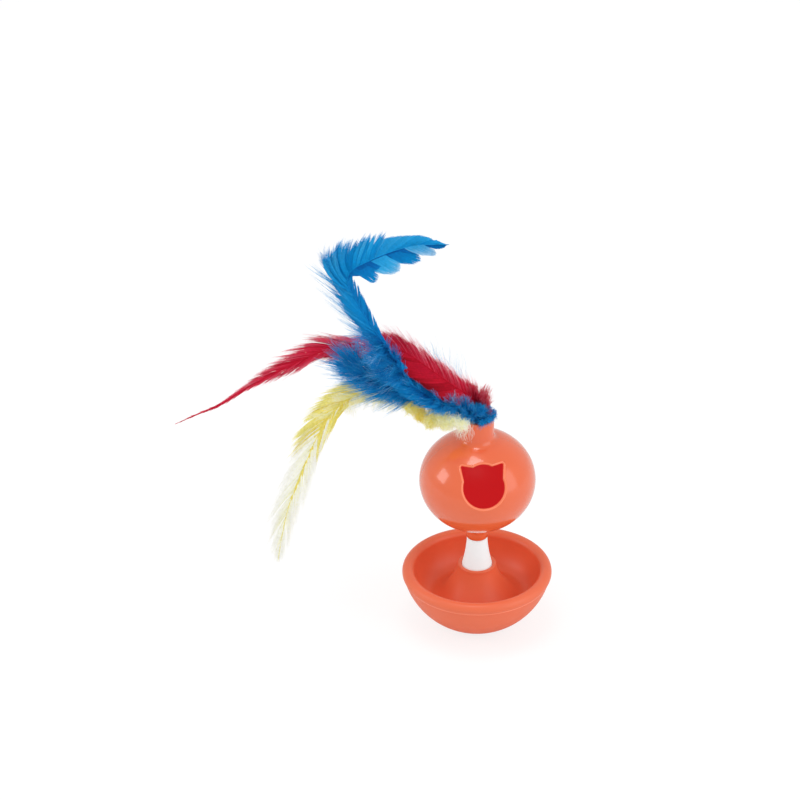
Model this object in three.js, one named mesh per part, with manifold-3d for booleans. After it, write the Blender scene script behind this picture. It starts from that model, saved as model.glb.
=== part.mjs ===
// Treat dispensing cat toy: a weighted round base with a bowl, a waisted post,
// and a hollow ball that spins on the post, with a cat head opening and four feathers in its neck.
// Millimetres, +Z up. The origin is the middle of the small flat foot that the toy stands on.

import * as THREE from 'three';
import { mergeVertices } from 'three/addons/utils/BufferGeometryUtils.js';
import Module from 'manifold-3d';

const wasm = await Module();
wasm.setup();

// Fits
const seatGap = 0.3; // between pieces that rest on or in each other
const runningGap = 0.3; // round the spindle and under the ball, which turn
const quillGap = 0.3; // round each quill in the plug
const weightGap = 0.7; // between the weight and the round wall that it lies over

// Facets of the round pieces
const largeSides = 36;
const mediumSides = 24;
const smallSides = 12;

// Base: the round bottom and its foot
const bottomRadius = 40.6;
const footRadius = 9;
const baseWall = 1.8;
const seamDrop = 10.3; // the seam lies this far under the middle of the round bottom
const tongueThickness = 1.2;
const tongueHeight = 2.2;

// Base: the tray
const rimRoll = 3.2; // radius of the rolled rim
const rimRise = 2.2; // middle of the roll over the seam
const troughInset = 8.75; // middle of the trough inside the inner side of the rim
const troughClearance = 5.3; // from the trough's underside down to the round bottom
const bowlDrop = 7; // how far the bowl's side falls straight from the rim before it curves in
const troughOuterFlat = 4.5; // how far the trough's floor reaches towards the rim and towards the cone
const troughInnerFlat = 5.5;
// The cone's side next to its lip: this much wider than the lip, this far under it.
const coneWaist = 1.4;
const coneWaistDrop = 8.8;
const lipRise = 2.6; // crest of the cone's lip over the crest of the rim
const lipRoll = 1;
const socketDepth = 4.6;
const socketFloor = 1.8;
const coneTopMargin = 0.4; // no point of the cone's inside lies nearer than this under the socket's floor

// Base: the weight and its screws
const weightHeight = 8.9;
const weightChamfer = 0.8;
const bossCircle = 12.5;
const bossRadius = 2.8;
const bossHeight = 6.2; // over the inner floor
const bossCount = 3;
const weightScrewRadius = 1.4;
const weightScrewLength = 7;
const weightScrewHeadRadius = 2.8;
const weightScrewHeadHeight = 1.9;
const pilotSpare = 0.5; // a pilot hole is this much deeper than its screw

// Screws, as shares of the shank's radius and of the head
const screwPointShare = 0.3;
const headEdgeShare = 0.35;
const recessReachShare = 0.55;
const recessHalfWidthShare = 0.12;
const recessFloorShare = 0.5;

// Stem
const stemFootRadius = 7.95;
const stemTopRadius = 5.5;
const stemHeight = 16.6; // from the lip to the shoulder that carries the ball
const stemFlarePower = 1.7; // above 1 the sides are hollow and the foot flares
const spindleRadius = 3;
const spindleEndPlay = 0.6;
const spindleChamfer = 0.4;
const thrustWasherRadius = 4.5;
const thrustWasherThickness = 0.9;
const stemScrewRadius = 1.6;
const stemScrewLength = 14;
const stemScrewHeadRadius = 3.2;
const stemScrewHeadHeight = 2;
const stemWasherRadius = 4.6;
const stemWasherThickness = 0.8;
const retainingWasherRadius = 5.4;
const retainingWasherThickness = 0.8;
const retainingScrewRadius = 1.25;
const retainingScrewLength = 7.5;
const retainingScrewHeadRadius = 2.6;
const retainingScrewHeadHeight = 1.7;

// Ball
const ballRadius = 31.1;
const ballHalfHeight = 27.6;
const ballWall = 2;
const landingRise = 0.7; // the washer's landing over the lowest point of the ball's inside
const landingMargin = 1.2; // the landing is this much wider than the washer
const collarRadius = 5.7;
const collarLength = 8.3; // from the bottom of the collar to the bottom of the ball's curve
const collarStraight = 2.5; // straight part of the collar under the funnel
const collarEdge = 0.3; // chamfer of the collar's bottom edge
const collarFunnelRadius = 8.4; // where the funnel over the collar meets the ball
const neckRadius = 8.75;
const neckHeight = 11.8; // over the top of the ball's curve
const neckWall = 2;
const neckFillet = 2.7;
const filletPullShare = 0.4; // how far up the fillet's curve is drawn
const neckEdge = 0.7; // rounding of the mouth of the neck
const ledgeWidth = 1.3; // ledge inside the neck, under the plug
const seamTongue = 1.8; // how far the rear half reaches into the front half
const tongueReachShare = 0.55; // inside this share of the radius, at the neck and collar, is no tongue

// Opening in the ball, drawn square to its own tilted axis
const openingTilt = THREE.MathUtils.degToRad(27); // axis over the horizontal
const headRadius = 11.1;
const headDrop = 1.9; // centre of the head circle under the axis
const earFootAngle = THREE.MathUtils.degToRad(20.5);
const earTipAcross = 11.4;
const earTipUp = 10.3;
const earTipRound = 1.1;
const earInnerAcross = 5.05;
const earInnerUp = 9.05;
const crownUp = 10.45;
const openingRound = 1.5; // rounding of the opening's outer edge
const cutterReach = 4; // how far the opening's cutter stands out of the wall, on both sides

// Feathers and their plug
const plugLength = 8.8;
const plugRecess = 1.2; // top of the plug under the mouth of the neck
const plugChamfer = 0.6;
const quillRadius = 0.8;
const quillSeat = 1.7; // what is left of the plug under a quill
const vaneTilt = THREE.MathUtils.degToRad(32.5); // how far the broad side of a vane leans up
const featherRings = 40;
const featherSides = 6;
const ringCrowding = 1.5; // above 1 the rings lie closer at the quill, where it turns out of the plug

// Heights that follow from these
const sphereZ = Math.sqrt(bottomRadius ** 2 - footRadius ** 2);
const seamZ = sphereZ - seamDrop;
const seamRadius = Math.sqrt(bottomRadius ** 2 - seamDrop ** 2);
const rimZ = seamZ + rimRise;
const rimRadius = seamRadius - Math.sqrt(rimRoll ** 2 - rimRise ** 2);
const rimCrestZ = rimZ + rimRoll;
const troughRadius = rimRadius - rimRoll - troughInset;
const innerBottomZ = sphereZ - Math.sqrt((bottomRadius - baseWall) ** 2 - troughRadius ** 2);
const troughZ = innerBottomZ + troughClearance + baseWall;
const socketRadius = stemFootRadius + seatGap;
const lipRadius = socketRadius + lipRoll;
const lipCrestZ = rimCrestZ + lipRise;
const lipZ = lipCrestZ - lipRoll;
const socketZ = lipCrestZ - socketDepth;
const socketUnderZ = socketZ - socketFloor;
const stemBottomZ = socketZ + seatGap;
const shoulderZ = lipCrestZ + stemHeight;
const thrustWasherZ = shoulderZ + seatGap;
const collarZ = shoulderZ + runningGap;
const counterboreZ = thrustWasherZ + thrustWasherThickness + runningGap;
const ballBottomZ = collarZ + collarLength;
const ballZ = ballBottomZ + ballHalfHeight;
const landingZ = ballBottomZ + ballWall + landingRise;
const spindleTopZ = landingZ + spindleEndPlay - seatGap;
const retainingWasherZ = spindleTopZ + seatGap;
const neckTopZ = ballZ + ballHalfHeight + neckHeight;
const plugTopZ = neckTopZ - plugRecess;
const plugZ = plugTopZ - plugLength;
const ledgeZ = plugZ - seatGap;
const neckBore = neckRadius - neckWall;
const spindleBore = spindleRadius + runningGap;

// Materials
const orangeSatin = new THREE.MeshStandardMaterial({ color: 0xe9764f, roughness: 0.55 });
const orangeGloss = new THREE.MeshStandardMaterial({ color: 0xee7450, roughness: 0.2 });
const whitePlastic = new THREE.MeshStandardMaterial({ color: 0xf2eeee, roughness: 0.4 });
const castIron = new THREE.MeshStandardMaterial({ color: 0x55565a, roughness: 0.7, metalness: 0.7 });
const steel = new THREE.MeshStandardMaterial({ color: 0xb9bcc0, roughness: 0.35, metalness: 1 });
const plugRubber = new THREE.MeshStandardMaterial({ color: 0xd8643f, roughness: 0.8 });
const blueFeather = new THREE.MeshStandardMaterial({ color: 0x0f7fc8, roughness: 0.9 });
const redFeather = new THREE.MeshStandardMaterial({ color: 0xc21a3a, roughness: 0.9 });
const yellowFeather = new THREE.MeshStandardMaterial({ color: 0xeee27a, roughness: 0.9 });

const at = (x, y) => new THREE.Vector2(x, y);

// Solids

function signedVolume(geometry) {
  const position = geometry.getAttribute('position');
  const index = geometry.getIndex();
  const corners = [new THREE.Vector3(), new THREE.Vector3(), new THREE.Vector3()];
  let sum = 0;
  for (let i = 0; i < index.count; i += 3) {
    corners.forEach((corner, k) => corner.fromBufferAttribute(position, index.getX(i + k)));
    sum += corners[0].dot(corners[1].cross(corners[2]));
  }
  return sum / 6;
}

// Keeps only the places of the vertices, joins those that coincide and turns the faces outwards.
function closed(geometry) {
  const bare = new THREE.BufferGeometry();
  bare.setAttribute('position', geometry.getAttribute('position').clone());
  bare.setIndex(geometry.getIndex() ? geometry.getIndex().clone() : null);
  const merged = mergeVertices(bare, 1e-4);
  const index = merged.getIndex();
  const kept = [];
  for (let i = 0; i < index.count; i += 3) {
    const [a, b, c] = [index.getX(i), index.getX(i + 1), index.getX(i + 2)];
    if (a !== b && b !== c && c !== a) kept.push(a, b, c);
  }
  merged.setIndex(kept);
  if (signedVolume(merged) < 0) {
    merged.setIndex(kept.reverse());
  }
  return merged;
}

function toSolid(geometry) {
  const merged = closed(geometry);
  return new wasm.Manifold(new wasm.Mesh({
    numProp: 3,
    vertProperties: new Float32Array(merged.getAttribute('position').array),
    triVerts: new Uint32Array(merged.getIndex().array),
  }));
}

function toGeometry(solid) {
  const mesh = solid.getMesh();
  const geometry = new THREE.BufferGeometry();
  geometry.setAttribute('position', new THREE.BufferAttribute(mesh.vertProperties, 3));
  geometry.setIndex(new THREE.BufferAttribute(mesh.triVerts, 1));
  return geometry;
}

// A profile of (radius, height) points turned round the vertical axis.
function revolve(profile, sides) {
  const spaced = profile.filter((p, i) => i === 0 || p.distanceTo(profile[i - 1]) > 1e-3);
  const geometry = new THREE.LatheGeometry(spaced, sides);
  geometry.rotateX(Math.PI / 2);
  return closed(geometry);
}

function ring(innerRadius, outerRadius, bottom, top, sides) {
  return revolve([
    at(innerRadius, bottom), at(outerRadius, bottom), at(outerRadius, top), at(innerRadius, top),
    at(innerRadius, bottom),
  ], sides);
}

function rod(radius, bottom, top, x = 0, y = 0, sides = smallSides) {
  const geometry = new THREE.CylinderGeometry(radius, radius, top - bottom, sides);
  geometry.rotateX(Math.PI / 2);
  geometry.translate(x, y, (bottom + top) / 2);
  return toSolid(geometry);
}

function block(low, high) {
  const size = high.map((value, k) => value - low[k]);
  const geometry = new THREE.BoxGeometry(...size);
  geometry.translate(...low.map((value, k) => value + size[k] / 2));
  return toSolid(geometry);
}

// Points of an arc in the profile plane, from one angle to another.
function arc(centre, radius, from, to, steps, radiusUp = radius) {
  const points = [];
  for (let i = 0; i <= steps; i++) {
    const angle = from + (to - from) * i / steps;
    points.push(at(centre.x + radius * Math.cos(angle), centre.y + radiusUp * Math.sin(angle)));
  }
  return points;
}

// The profile moved sideways by one distance, to its right hand side as it is walked.
function offset(points, distance) {
  return points.map((point, i) => {
    const before = points[Math.max(i - 1, 0)];
    const after = points[Math.min(i + 1, points.length - 1)];
    const along = after.clone().sub(before).normalize();
    return at(point.x + along.y * distance, point.y - along.x * distance);
  });
}

function mesh(name, geometry, material) {
  const piece = new THREE.Mesh(geometry, material);
  piece.name = name;
  return piece;
}

// Screw with a domed head and a cross recess, its head's seat at z = 0 and its shank pointing down.
function screw(radius, length, headRadius, headHeight) {
  const tip = radius;
  const edge = headHeight * headEdgeShare;
  const profile = [
    at(0, -length), at(radius * screwPointShare, -length), at(radius, -length + tip), at(radius, 0),
    at(headRadius, 0), ...arc(at(0, edge), headRadius, 0, Math.PI / 2, 3, headHeight - edge),
  ];
  let solid = toSolid(revolve(profile, smallSides));
  const slot = headRadius * recessReachShare;
  const half = headRadius * recessHalfWidthShare;
  const deep = headHeight * recessFloorShare;
  solid = solid.subtract(block([-slot, -half, deep], [slot, half, headHeight * 2]));
  solid = solid.subtract(block([-half, -slot, deep], [half, slot, headHeight * 2]));
  return toGeometry(solid);
}

// Base

// Round bottom: a sphere cut off at the foot, at any distance inside its outer face.
function bottomArc(inset, topRadius, steps) {
  const radius = bottomRadius - inset;
  const low = -Math.acos(Math.sqrt(Math.max(radius ** 2 - (sphereZ - inset) ** 2, 0)) / radius);
  const high = -Math.acos(topRadius / radius);
  return arc(at(0, sphereZ), radius, low, high, steps);
}

// Radius of the round bottom at a height, at any distance inside its outer face.
function bottomRadiusAt(z, inset) {
  return Math.sqrt((bottomRadius - inset) ** 2 - (sphereZ - z) ** 2);
}

const tongueOuter = seamRadius - baseWall - seatGap;
const tongueInner = tongueOuter - tongueThickness;
const tongueTopZ = seamZ + tongueHeight;
const bossPlaces = Array.from({ length: bossCount }, (_, i) => {
  const angle = Math.PI / 2 + i * 2 * Math.PI / bossCount;
  return [bossCircle * Math.cos(angle), bossCircle * Math.sin(angle)];
});
const bossTopZ = baseWall + bossHeight;
const weightZ = baseWall + seatGap;
const weightTopZ = weightZ + weightHeight;
const weightHeadZ = weightTopZ + seatGap;
const pilotDepth = weightScrewLength + pilotSpare;

function baseLowerShell() {
  const outside = [at(0, 0), ...bottomArc(0, seamRadius, 9)];
  const inside = bottomArc(baseWall, tongueInner, 6).reverse();
  const profile = [
    ...outside, at(tongueOuter, seamZ), at(tongueOuter, tongueTopZ), at(tongueInner, tongueTopZ),
    ...inside, at(0, baseWall),
  ];
  let shell = toSolid(revolve(profile, largeSides));
  const middle = [at(0, baseWall / 2), ...bottomArc(baseWall / 2, tongueInner, 6), at(0, seamZ)];
  const room = toSolid(revolve(middle, largeSides));
  for (const [x, y] of bossPlaces) {
    shell = shell.add(rod(bossRadius, 0, bossTopZ, x, y).intersect(room));
  }
  for (const [x, y] of bossPlaces) {
    shell = shell.subtract(rod(weightScrewRadius + seatGap, weightHeadZ - pilotDepth, bossTopZ + 1, x, y));
  }
  return toGeometry(shell);
}

function counterweight() {
  const inset = baseWall + weightGap;
  const shoulder = weightTopZ - weightChamfer;
  const shoulderRadius = bottomRadiusAt(shoulder, inset);
  const side = bottomArc(inset, shoulderRadius, 5);
  const profile = [
    at(0, weightZ), at(bottomRadiusAt(weightZ, inset) - weightChamfer, weightZ),
    ...side.filter((p) => p.y > weightZ + weightChamfer / 2),
    at(shoulderRadius - weightChamfer, weightTopZ), at(0, weightTopZ),
  ];
  let solid = toSolid(revolve(profile, mediumSides));
  for (const [x, y] of bossPlaces) {
    solid = solid.subtract(rod(bossRadius + seatGap, 0, bossTopZ + seatGap, x, y));
    solid = solid.subtract(rod(weightScrewRadius + seatGap, 0, weightTopZ + 1, x, y));
  }
  return toGeometry(solid);
}

// Tray: rolled rim, trough, trumpet cone, lip and socket in one moulding of one wall.
function baseUpperTray() {
  const skirtZ = seamZ + seatGap;
  const start = Math.asin((skirtZ - rimZ) / rimRoll);
  const roll = arc(at(rimRadius, rimZ), rimRoll, start, Math.PI, 9);
  const rimInner = rimRadius - rimRoll;
  const lipOuter = lipRadius + lipRoll;
  const floor = at(troughRadius, troughZ);
  const bowl = new THREE.CubicBezierCurve(
    at(rimInner, rimZ), at(rimInner, rimZ - bowlDrop), at(troughRadius + troughOuterFlat, troughZ), floor,
  ).getPoints(6).slice(1);
  const coneStart = at(lipOuter, lipZ - lipRoll / 3);
  const cone = new THREE.CubicBezierCurve(
    floor, at(troughRadius - troughInnerFlat, troughZ),
    at(lipOuter + coneWaist, lipZ - coneWaistDrop), coneStart,
  ).getPoints(7).slice(1);
  const skin = [...roll, ...bowl, ...cone];
  const lip = arc(at(lipRadius, lipZ), lipRoll, 0, Math.PI, 5);
  const inner = offset(skin, -baseWall).reverse();
  const first = inner.findIndex((p) => p.y < socketUnderZ - coneTopMargin);
  const [above, below] = [inner[first - 1], inner[first]];
  const share = (socketUnderZ - below.y) / (above.y - below.y);
  const coneTop = below.clone().lerp(above, share);
  const under = inner.slice(first).filter((p, i, all) => i < cone.length || (all.length - i) % 2 === 1);
  const hole = stemScrewRadius + seatGap;
  const profile = [
    ...skin, ...lip, at(socketRadius, socketZ), at(hole, socketZ), at(hole, socketUnderZ),
    coneTop, ...under, at(seamRadius - baseWall, skirtZ), roll[0],
  ];
  return revolve(profile, largeSides);
}

// Stem with its foot in the socket, its hollow flare and the spindle on top.
function stem() {
  const flare = [];
  const steps = 7;
  for (let i = 0; i <= steps; i++) {
    const down = 1 - i / steps;
    const radius = stemTopRadius + (stemFootRadius - stemTopRadius) * down ** stemFlarePower;
    flare.push(at(radius, shoulderZ - stemHeight * down));
  }
  const footHole = stemScrewRadius + seatGap;
  const footHoleTopZ = socketUnderZ + stemScrewLength;
  const topHole = retainingScrewRadius + seatGap;
  const topHoleZ = spindleTopZ - retainingScrewLength - pilotSpare;
  return revolve([
    at(0, footHoleTopZ), at(footHole, footHoleTopZ), at(footHole, stemBottomZ),
    at(stemFootRadius, stemBottomZ), ...flare,
    at(spindleRadius, shoulderZ), at(spindleRadius, spindleTopZ - spindleChamfer),
    at(spindleRadius - spindleChamfer, spindleTopZ), at(topHole, spindleTopZ),
    at(topHole, topHoleZ), at(0, topHoleZ),
  ], mediumSides);
}

// Ball

// Arc of the ball's curve at any distance inside its outer face, between two radii. A side of -1 is
// below the ball's middle and 1 is above it.
function ballArc(inset, fromRadius, fromSide, toRadius, toSide, steps) {
  const radius = ballRadius - inset;
  const from = fromSide * Math.acos(fromRadius / radius);
  const to = toSide * Math.acos(toRadius / radius);
  return arc(at(0, ballZ), radius, from, to, steps, ballHalfHeight - inset);
}

// The whole shell as one closed profile: collar, funnel, curve, neck, ledge, inside, landing and bore.
function ballProfile() {
  const filletRadius = neckRadius + neckFillet;
  const filletPull = neckFillet * filletPullShare;
  const landingRadius = retainingWasherRadius + landingMargin;
  const outside = ballArc(0, collarFunnelRadius, -1, filletRadius, 1, 15);
  const inside = ballArc(ballWall, neckBore - ledgeWidth, 1, landingRadius, -1, 10);
  const funnel = new THREE.QuadraticBezierCurve(
    at(collarRadius, collarZ + collarStraight), at(collarRadius, ballBottomZ - collarEdge), outside[0],
  ).getPoints(4);
  const neckFoot = outside[outside.length - 1];
  const fillet = new THREE.QuadraticBezierCurve(
    neckFoot, at(neckRadius, neckFoot.y + filletPull), at(neckRadius, neckFoot.y + neckFillet + filletPull),
  ).getPoints(3);
  const mouth = arc(at(neckRadius - neckEdge, neckTopZ - neckEdge), neckEdge, 0, Math.PI / 2, 2);
  const counterbore = thrustWasherRadius + runningGap;
  return [
    at(collarRadius - collarEdge, collarZ), at(collarRadius, collarZ + collarEdge), ...funnel, ...outside,
    ...fillet, ...mouth,
    at(neckBore, neckTopZ), at(neckBore, ledgeZ), at(neckBore - ledgeWidth, ledgeZ), ...inside,
    at(inside[inside.length - 1].x, landingZ), at(spindleBore, landingZ), at(spindleBore, counterboreZ),
    at(counterbore, counterboreZ), at(counterbore, collarZ), at(collarRadius - collarEdge, collarZ),
  ];
}

// Band along the ball's wall, from one depth to another, for the tongue and its groove.
function wallBand(outerInset, innerInset) {
  const reach = ballRadius * tongueReachShare;
  const outer = ballArc(outerInset, reach, -1, reach, 1, 9);
  const inner = ballArc(innerInset, reach, 1, reach, -1, 9);
  return toSolid(revolve([...outer, ...inner, outer[0]], largeSides));
}

// Outline of a plain cat head: one circle, two ears with round tips and a low crown, walked anticlockwise.
function catHeadOutline() {
  const shape = new THREE.Shape();
  const footX = headRadius * Math.cos(earFootAngle);
  const footY = headRadius * Math.sin(earFootAngle) - headDrop;
  const crownRise = crownUp - earInnerUp;
  const crownRadius = (earInnerAcross ** 2 + crownRise ** 2) / (2 * crownRise);
  const crownAngle = Math.asin(earInnerAcross / crownRadius);
  const corner = at(earTipAcross, earTipUp);
  const toFoot = at(footX, footY).sub(corner).normalize();
  const toInner = at(earInnerAcross, earInnerUp).sub(corner).normalize();
  const before = corner.clone().addScaledVector(toFoot, earTipRound);
  const after = corner.clone().addScaledVector(toInner, earTipRound);
  shape.moveTo(footX, footY);
  shape.lineTo(before.x, before.y);
  shape.quadraticCurveTo(corner.x, corner.y, after.x, after.y);
  shape.lineTo(earInnerAcross, earInnerUp);
  shape.absarc(0, crownUp - crownRadius, crownRadius, Math.PI / 2 - crownAngle, Math.PI / 2 + crownAngle);
  shape.lineTo(-after.x, after.y);
  shape.quadraticCurveTo(-corner.x, corner.y, -before.x, before.y);
  shape.lineTo(-footX, footY);
  shape.absarc(0, -headDrop, headRadius, Math.PI - earFootAngle, 2 * Math.PI + earFootAngle);
  return shape.getSpacedPoints(56).slice(0, -1);
}

// Point of the ball's curve, at a depth inside its outer face, that an outline point meets along the
// tilted axis of the opening.
function pointOnBall(outlinePoint, depth) {
  const across = new THREE.Vector3(1, 0, 0);
  const axis = new THREE.Vector3(0, -Math.cos(openingTilt), Math.sin(openingTilt));
  const up = new THREE.Vector3(0, Math.sin(openingTilt), Math.cos(openingTilt));
  const start = across.multiplyScalar(outlinePoint.x).addScaledVector(up, outlinePoint.y);
  const squash = new THREE.Vector3(ballRadius - depth, ballRadius - depth, ballHalfHeight - depth);
  const from = start.clone().divide(squash);
  const along = axis.clone().divide(squash);
  const a = along.lengthSq();
  const b = 2 * from.dot(along);
  const c = from.lengthSq() - 1;
  const distance = (-b + Math.sqrt(b * b - 4 * a * c)) / (2 * a);
  return start.addScaledVector(axis, distance).add(new THREE.Vector3(0, 0, ballZ));
}

// Cutter for the opening. Its rings follow the ball's curve, so that the rounded edge is even all the way.
function openingCutter() {
  const outline = catHeadOutline();
  const roundSteps = 3;
  const levels = [{ grow: openingRound, depth: -cutterReach }];
  for (let i = 0; i <= roundSteps; i++) {
    const angle = Math.PI / 2 * i / roundSteps;
    levels.push({
      grow: openingRound * (1 - Math.sin(angle)),
      depth: openingRound * (1 - Math.cos(angle)),
    });
  }
  levels.push({ grow: 0, depth: ballWall + cutterReach });
  const places = [];
  for (const level of levels) {
    const looped = [outline[outline.length - 1], ...outline, outline[0]];
    const grown = offset(looped, level.grow).slice(1, -1);
    grown.forEach((point) => places.push(...pointOnBall(point, level.depth).toArray()));
  }
  const count = outline.length;
  const faces = [];
  for (let level = 0; level < levels.length - 1; level++) {
    for (let i = 0; i < count; i++) {
      const next = (i + 1) % count;
      const [a, b] = [level * count + i, level * count + next];
      faces.push(a, a + count, b, b, a + count, b + count);
    }
  }
  const last = (levels.length - 1) * count;
  for (const [a, b, c] of THREE.ShapeUtils.triangulateShape(outline, [])) {
    faces.push(a, b, c, last + a, last + c, last + b);
  }
  const geometry = new THREE.BufferGeometry();
  geometry.setAttribute('position', new THREE.Float32BufferAttribute(places, 3));
  geometry.setIndex(faces);
  return toSolid(geometry);
}

const far = ballRadius * 3;
const bandDepth = (ballWall - seatGap) / 2;
const wholeBall = toSolid(revolve(ballProfile(), largeSides));

function ballFrontShell() {
  const front = block([-far, -far, 0], [far, -seatGap / 2, far * 2]);
  const groove = wallBand(ballWall - bandDepth - seatGap, ballWall + 1);
  const grooveReach = block([-far, -seamTongue - seatGap, 0], [far, 0, far * 2]);
  const half = wholeBall.intersect(front).subtract(groove.intersect(grooveReach));
  return toGeometry(half.subtract(openingCutter()));
}

function ballRearShell() {
  const rear = block([-far, seatGap / 2, 0], [far, far, far * 2]);
  const tongue = wallBand(ballWall - bandDepth, ballWall);
  const tongueReach = block([-far, -seamTongue, 0], [far, seatGap, far * 2]);
  return toGeometry(wholeBall.intersect(rear).add(tongue.intersect(tongueReach)));
}

// Feathers

// Places are measured from the middle of the neck's mouth. Widths go [share of the length, left, right], with
// left and right as seen from the front by someone who walks from the quill to the tip.
const feathers = {
  blue_long_feather: {
    root: [1.6, -3.1],
    route: [
      [-6, -2, 5.5], [-15, -2, 10], [-24, -2, 15], [-33, -1, 22], [-39, 0, 29], [-44, 0, 38], [-49, 0, 48],
      [-56, 0, 60], [-62, -1, 72], [-67, -1, 83], [-70, -2, 91], [-68, -2, 98], [-60, -1, 102], [-45, 2, 106],
      [-32, 3, 108], [-16, 3, 107],
    ],
    widths: [
      [0.11, 0.8, 0.8], [0.15, 2, 1.6], [0.22, 3.5, 1.8], [0.3, 5, 1.8], [0.36, 6.5, 2.2], [0.45, 8.5, 4],
      [0.57, 9, 5], [0.66, 10, 5.5], [0.72, 9, 5], [0.77, 9, 6], [0.81, 9.5, 10.5], [0.86, 9.5, 10],
      [0.92, 7, 7], [0.97, 4, 4], [1, 0.5, 0.5],
    ],
    thickness: 0.8,
    notches: 17,
    material: blueFeather,
  },
  blue_down_feather: {
    root: [-3.2, -0.6],
    route: [[-9, 0.5, 5], [-19, 2, 8], [-32, 5, 13], [-45, 8, 18], [-57, 11, 24], [-66, 14, 29]],
    widths: [
      [0.14, 0.8, 0.8], [0.2, 3, 2.5], [0.35, 8, 3.5], [0.55, 9.5, 5.5], [0.75, 8, 6], [0.9, 5, 4],
      [1, 0.8, 0.8],
    ],
    thickness: 1.6,
    notches: 9,
    material: blueFeather,
  },
  red_feather: {
    root: [3, 1.5],
    route: [
      [2, 3, 5], [-3, 2, 12], [-10, 1, 18], [-18, 1, 25], [-27, 3, 32], [-34, 6, 37], [-42, 11, 40],
      [-51, 16, 39], [-65, 21, 36], [-77, 24, 34], [-91, 25, 28], [-105, 24, 22], [-120, 22, 15],
      [-136, 19, 7], [-149, 17, 3], [-159, 15, 0],
    ],
    widths: [
      [0.1, 0.8, 0.8], [0.14, 3, 3], [0.2, 5.5, 6.5], [0.27, 6.5, 8], [0.34, 6, 7.5], [0.41, 5, 5],
      [0.47, 4.5, 4.5], [0.56, 5, 5], [0.66, 4.5, 4.5], [0.76, 3, 3], [0.86, 2, 2], [0.94, 1.2, 1.2],
      [1, 0.4, 0.4],
    ],
    thickness: 1,
    notches: 18,
    material: redFeather,
  },
  yellow_feather: {
    root: [-1, 3.2],
    route: [
      [-5, 4.4, 2.8], [-12, 6, 4.4], [-21, 7.5, 5], [-31, 9, 7], [-42, 10, 10], [-52, 12, 12], [-62, 12, 12],
      [-71, 12, 7], [-79, 10, -1], [-85, 9, -11], [-90, 8, -23], [-95, 7, -36], [-99, 6, -46],
      [-102, 6, -57], [-105, 4, -70], [-107, 3, -83],
    ],
    widths: [
      [0.09, 0.8, 0.8], [0.13, 2.5, 3], [0.2, 6, 6], [0.3, 7.5, 7], [0.38, 8, 7.5], [0.45, 8, 8], [0.6, 8, 8],
      [0.72, 7.5, 7.5], [0.82, 6, 6], [0.92, 3.5, 3.5], [1, 0.4, 0.4],
    ],
    thickness: 0.9,
    notches: 16,
    material: yellowFeather,
  },
};
const quillFoot = -plugRecess - plugLength + quillSeat + quillGap;
const notchDepth = 0.22;

// Half width on one side at a share of the length, with the saw teeth that parted barbs leave in the edge.
function halfWidthAt(feather, share, side) {
  const rows = feather.widths;
  const first = rows[0];
  if (share <= first[0]) return first[side];
  const k = rows.findIndex((row) => row[0] >= share - 1e-9);
  const [low, high] = [rows[Math.max(k - 1, 0)], rows[k]];
  const between = THREE.MathUtils.smoothstep(share, low[0], high[0]);
  const width = low[side] + (high[side] - low[side]) * between;
  const saw = (share * feather.notches + side * 0.5) % 1;
  return Math.max(width * (1 - notchDepth * saw), quillRadius * Math.min(1, (1 - share) * 8 + 0.4));
}

// A feather is a loft along its curved quill: round in the plug, then a thin lens as wide as its vane.
function featherSolid(feather) {
  const [x, y] = feather.root;
  const straight = [1, 0.66, 0.33, 0.04];
  const start = straight.map((share) => new THREE.Vector3(x, y, share * quillFoot));
  const curve = new THREE.CatmullRomCurve3([...start, ...feather.route.map((p) => new THREE.Vector3(...p))]);
  const facing = new THREE.Vector3(0, -Math.cos(vaneTilt), Math.sin(vaneTilt));
  const places = [];
  const faces = [];
  for (let i = 0; i <= featherRings; i++) {
    const share = (i / featherRings) ** ringCrowding;
    const middle = curve.getPointAt(share);
    const wide = curve.getTangentAt(share).cross(facing).normalize();
    const thick = wide.clone().cross(curve.getTangentAt(share)).normalize();
    for (let k = 0; k < featherSides; k++) {
      const angle = k * 2 * Math.PI / featherSides;
      const side = Math.cos(angle) < 0 ? 1 : 2;
      const halfWidth = halfWidthAt(feather, share, side);
      const halfThickness = Math.min(feather.thickness, Math.max(halfWidth, quillRadius / 2));
      const place = middle.clone().addScaledVector(wide, halfWidth * Math.cos(angle));
      place.addScaledVector(thick, halfThickness * Math.sin(angle));
      places.push(place.x, place.y, place.z + neckTopZ);
    }
  }
  for (let i = 0; i < featherRings; i++) {
    for (let k = 0; k < featherSides; k++) {
      const [a, b] = [i * featherSides + k, i * featherSides + (k + 1) % featherSides];
      faces.push(a, b, a + featherSides, b, b + featherSides, a + featherSides);
    }
  }
  const last = featherRings * featherSides;
  for (let k = 1; k < featherSides - 1; k++) {
    faces.push(0, k + 1, k, last, last + k, last + k + 1);
  }
  const geometry = new THREE.BufferGeometry();
  geometry.setAttribute('position', new THREE.Float32BufferAttribute(places, 3));
  geometry.setIndex(faces);
  return closed(geometry);
}

function featherPlug() {
  const radius = neckBore - seatGap;
  let solid = toSolid(revolve([
    at(0, plugZ), at(radius - plugChamfer, plugZ), at(radius, plugZ + plugChamfer),
    at(radius, plugTopZ - plugChamfer), at(radius - plugChamfer, plugTopZ), at(0, plugTopZ),
  ], mediumSides));
  for (const feather of Object.values(feathers)) {
    const [x, y] = feather.root;
    solid = solid.subtract(rod(quillRadius + quillGap, plugZ + quillSeat, neckTopZ, x, y));
  }
  return toGeometry(solid);
}

// The toy

const toy = new THREE.Group();

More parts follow.
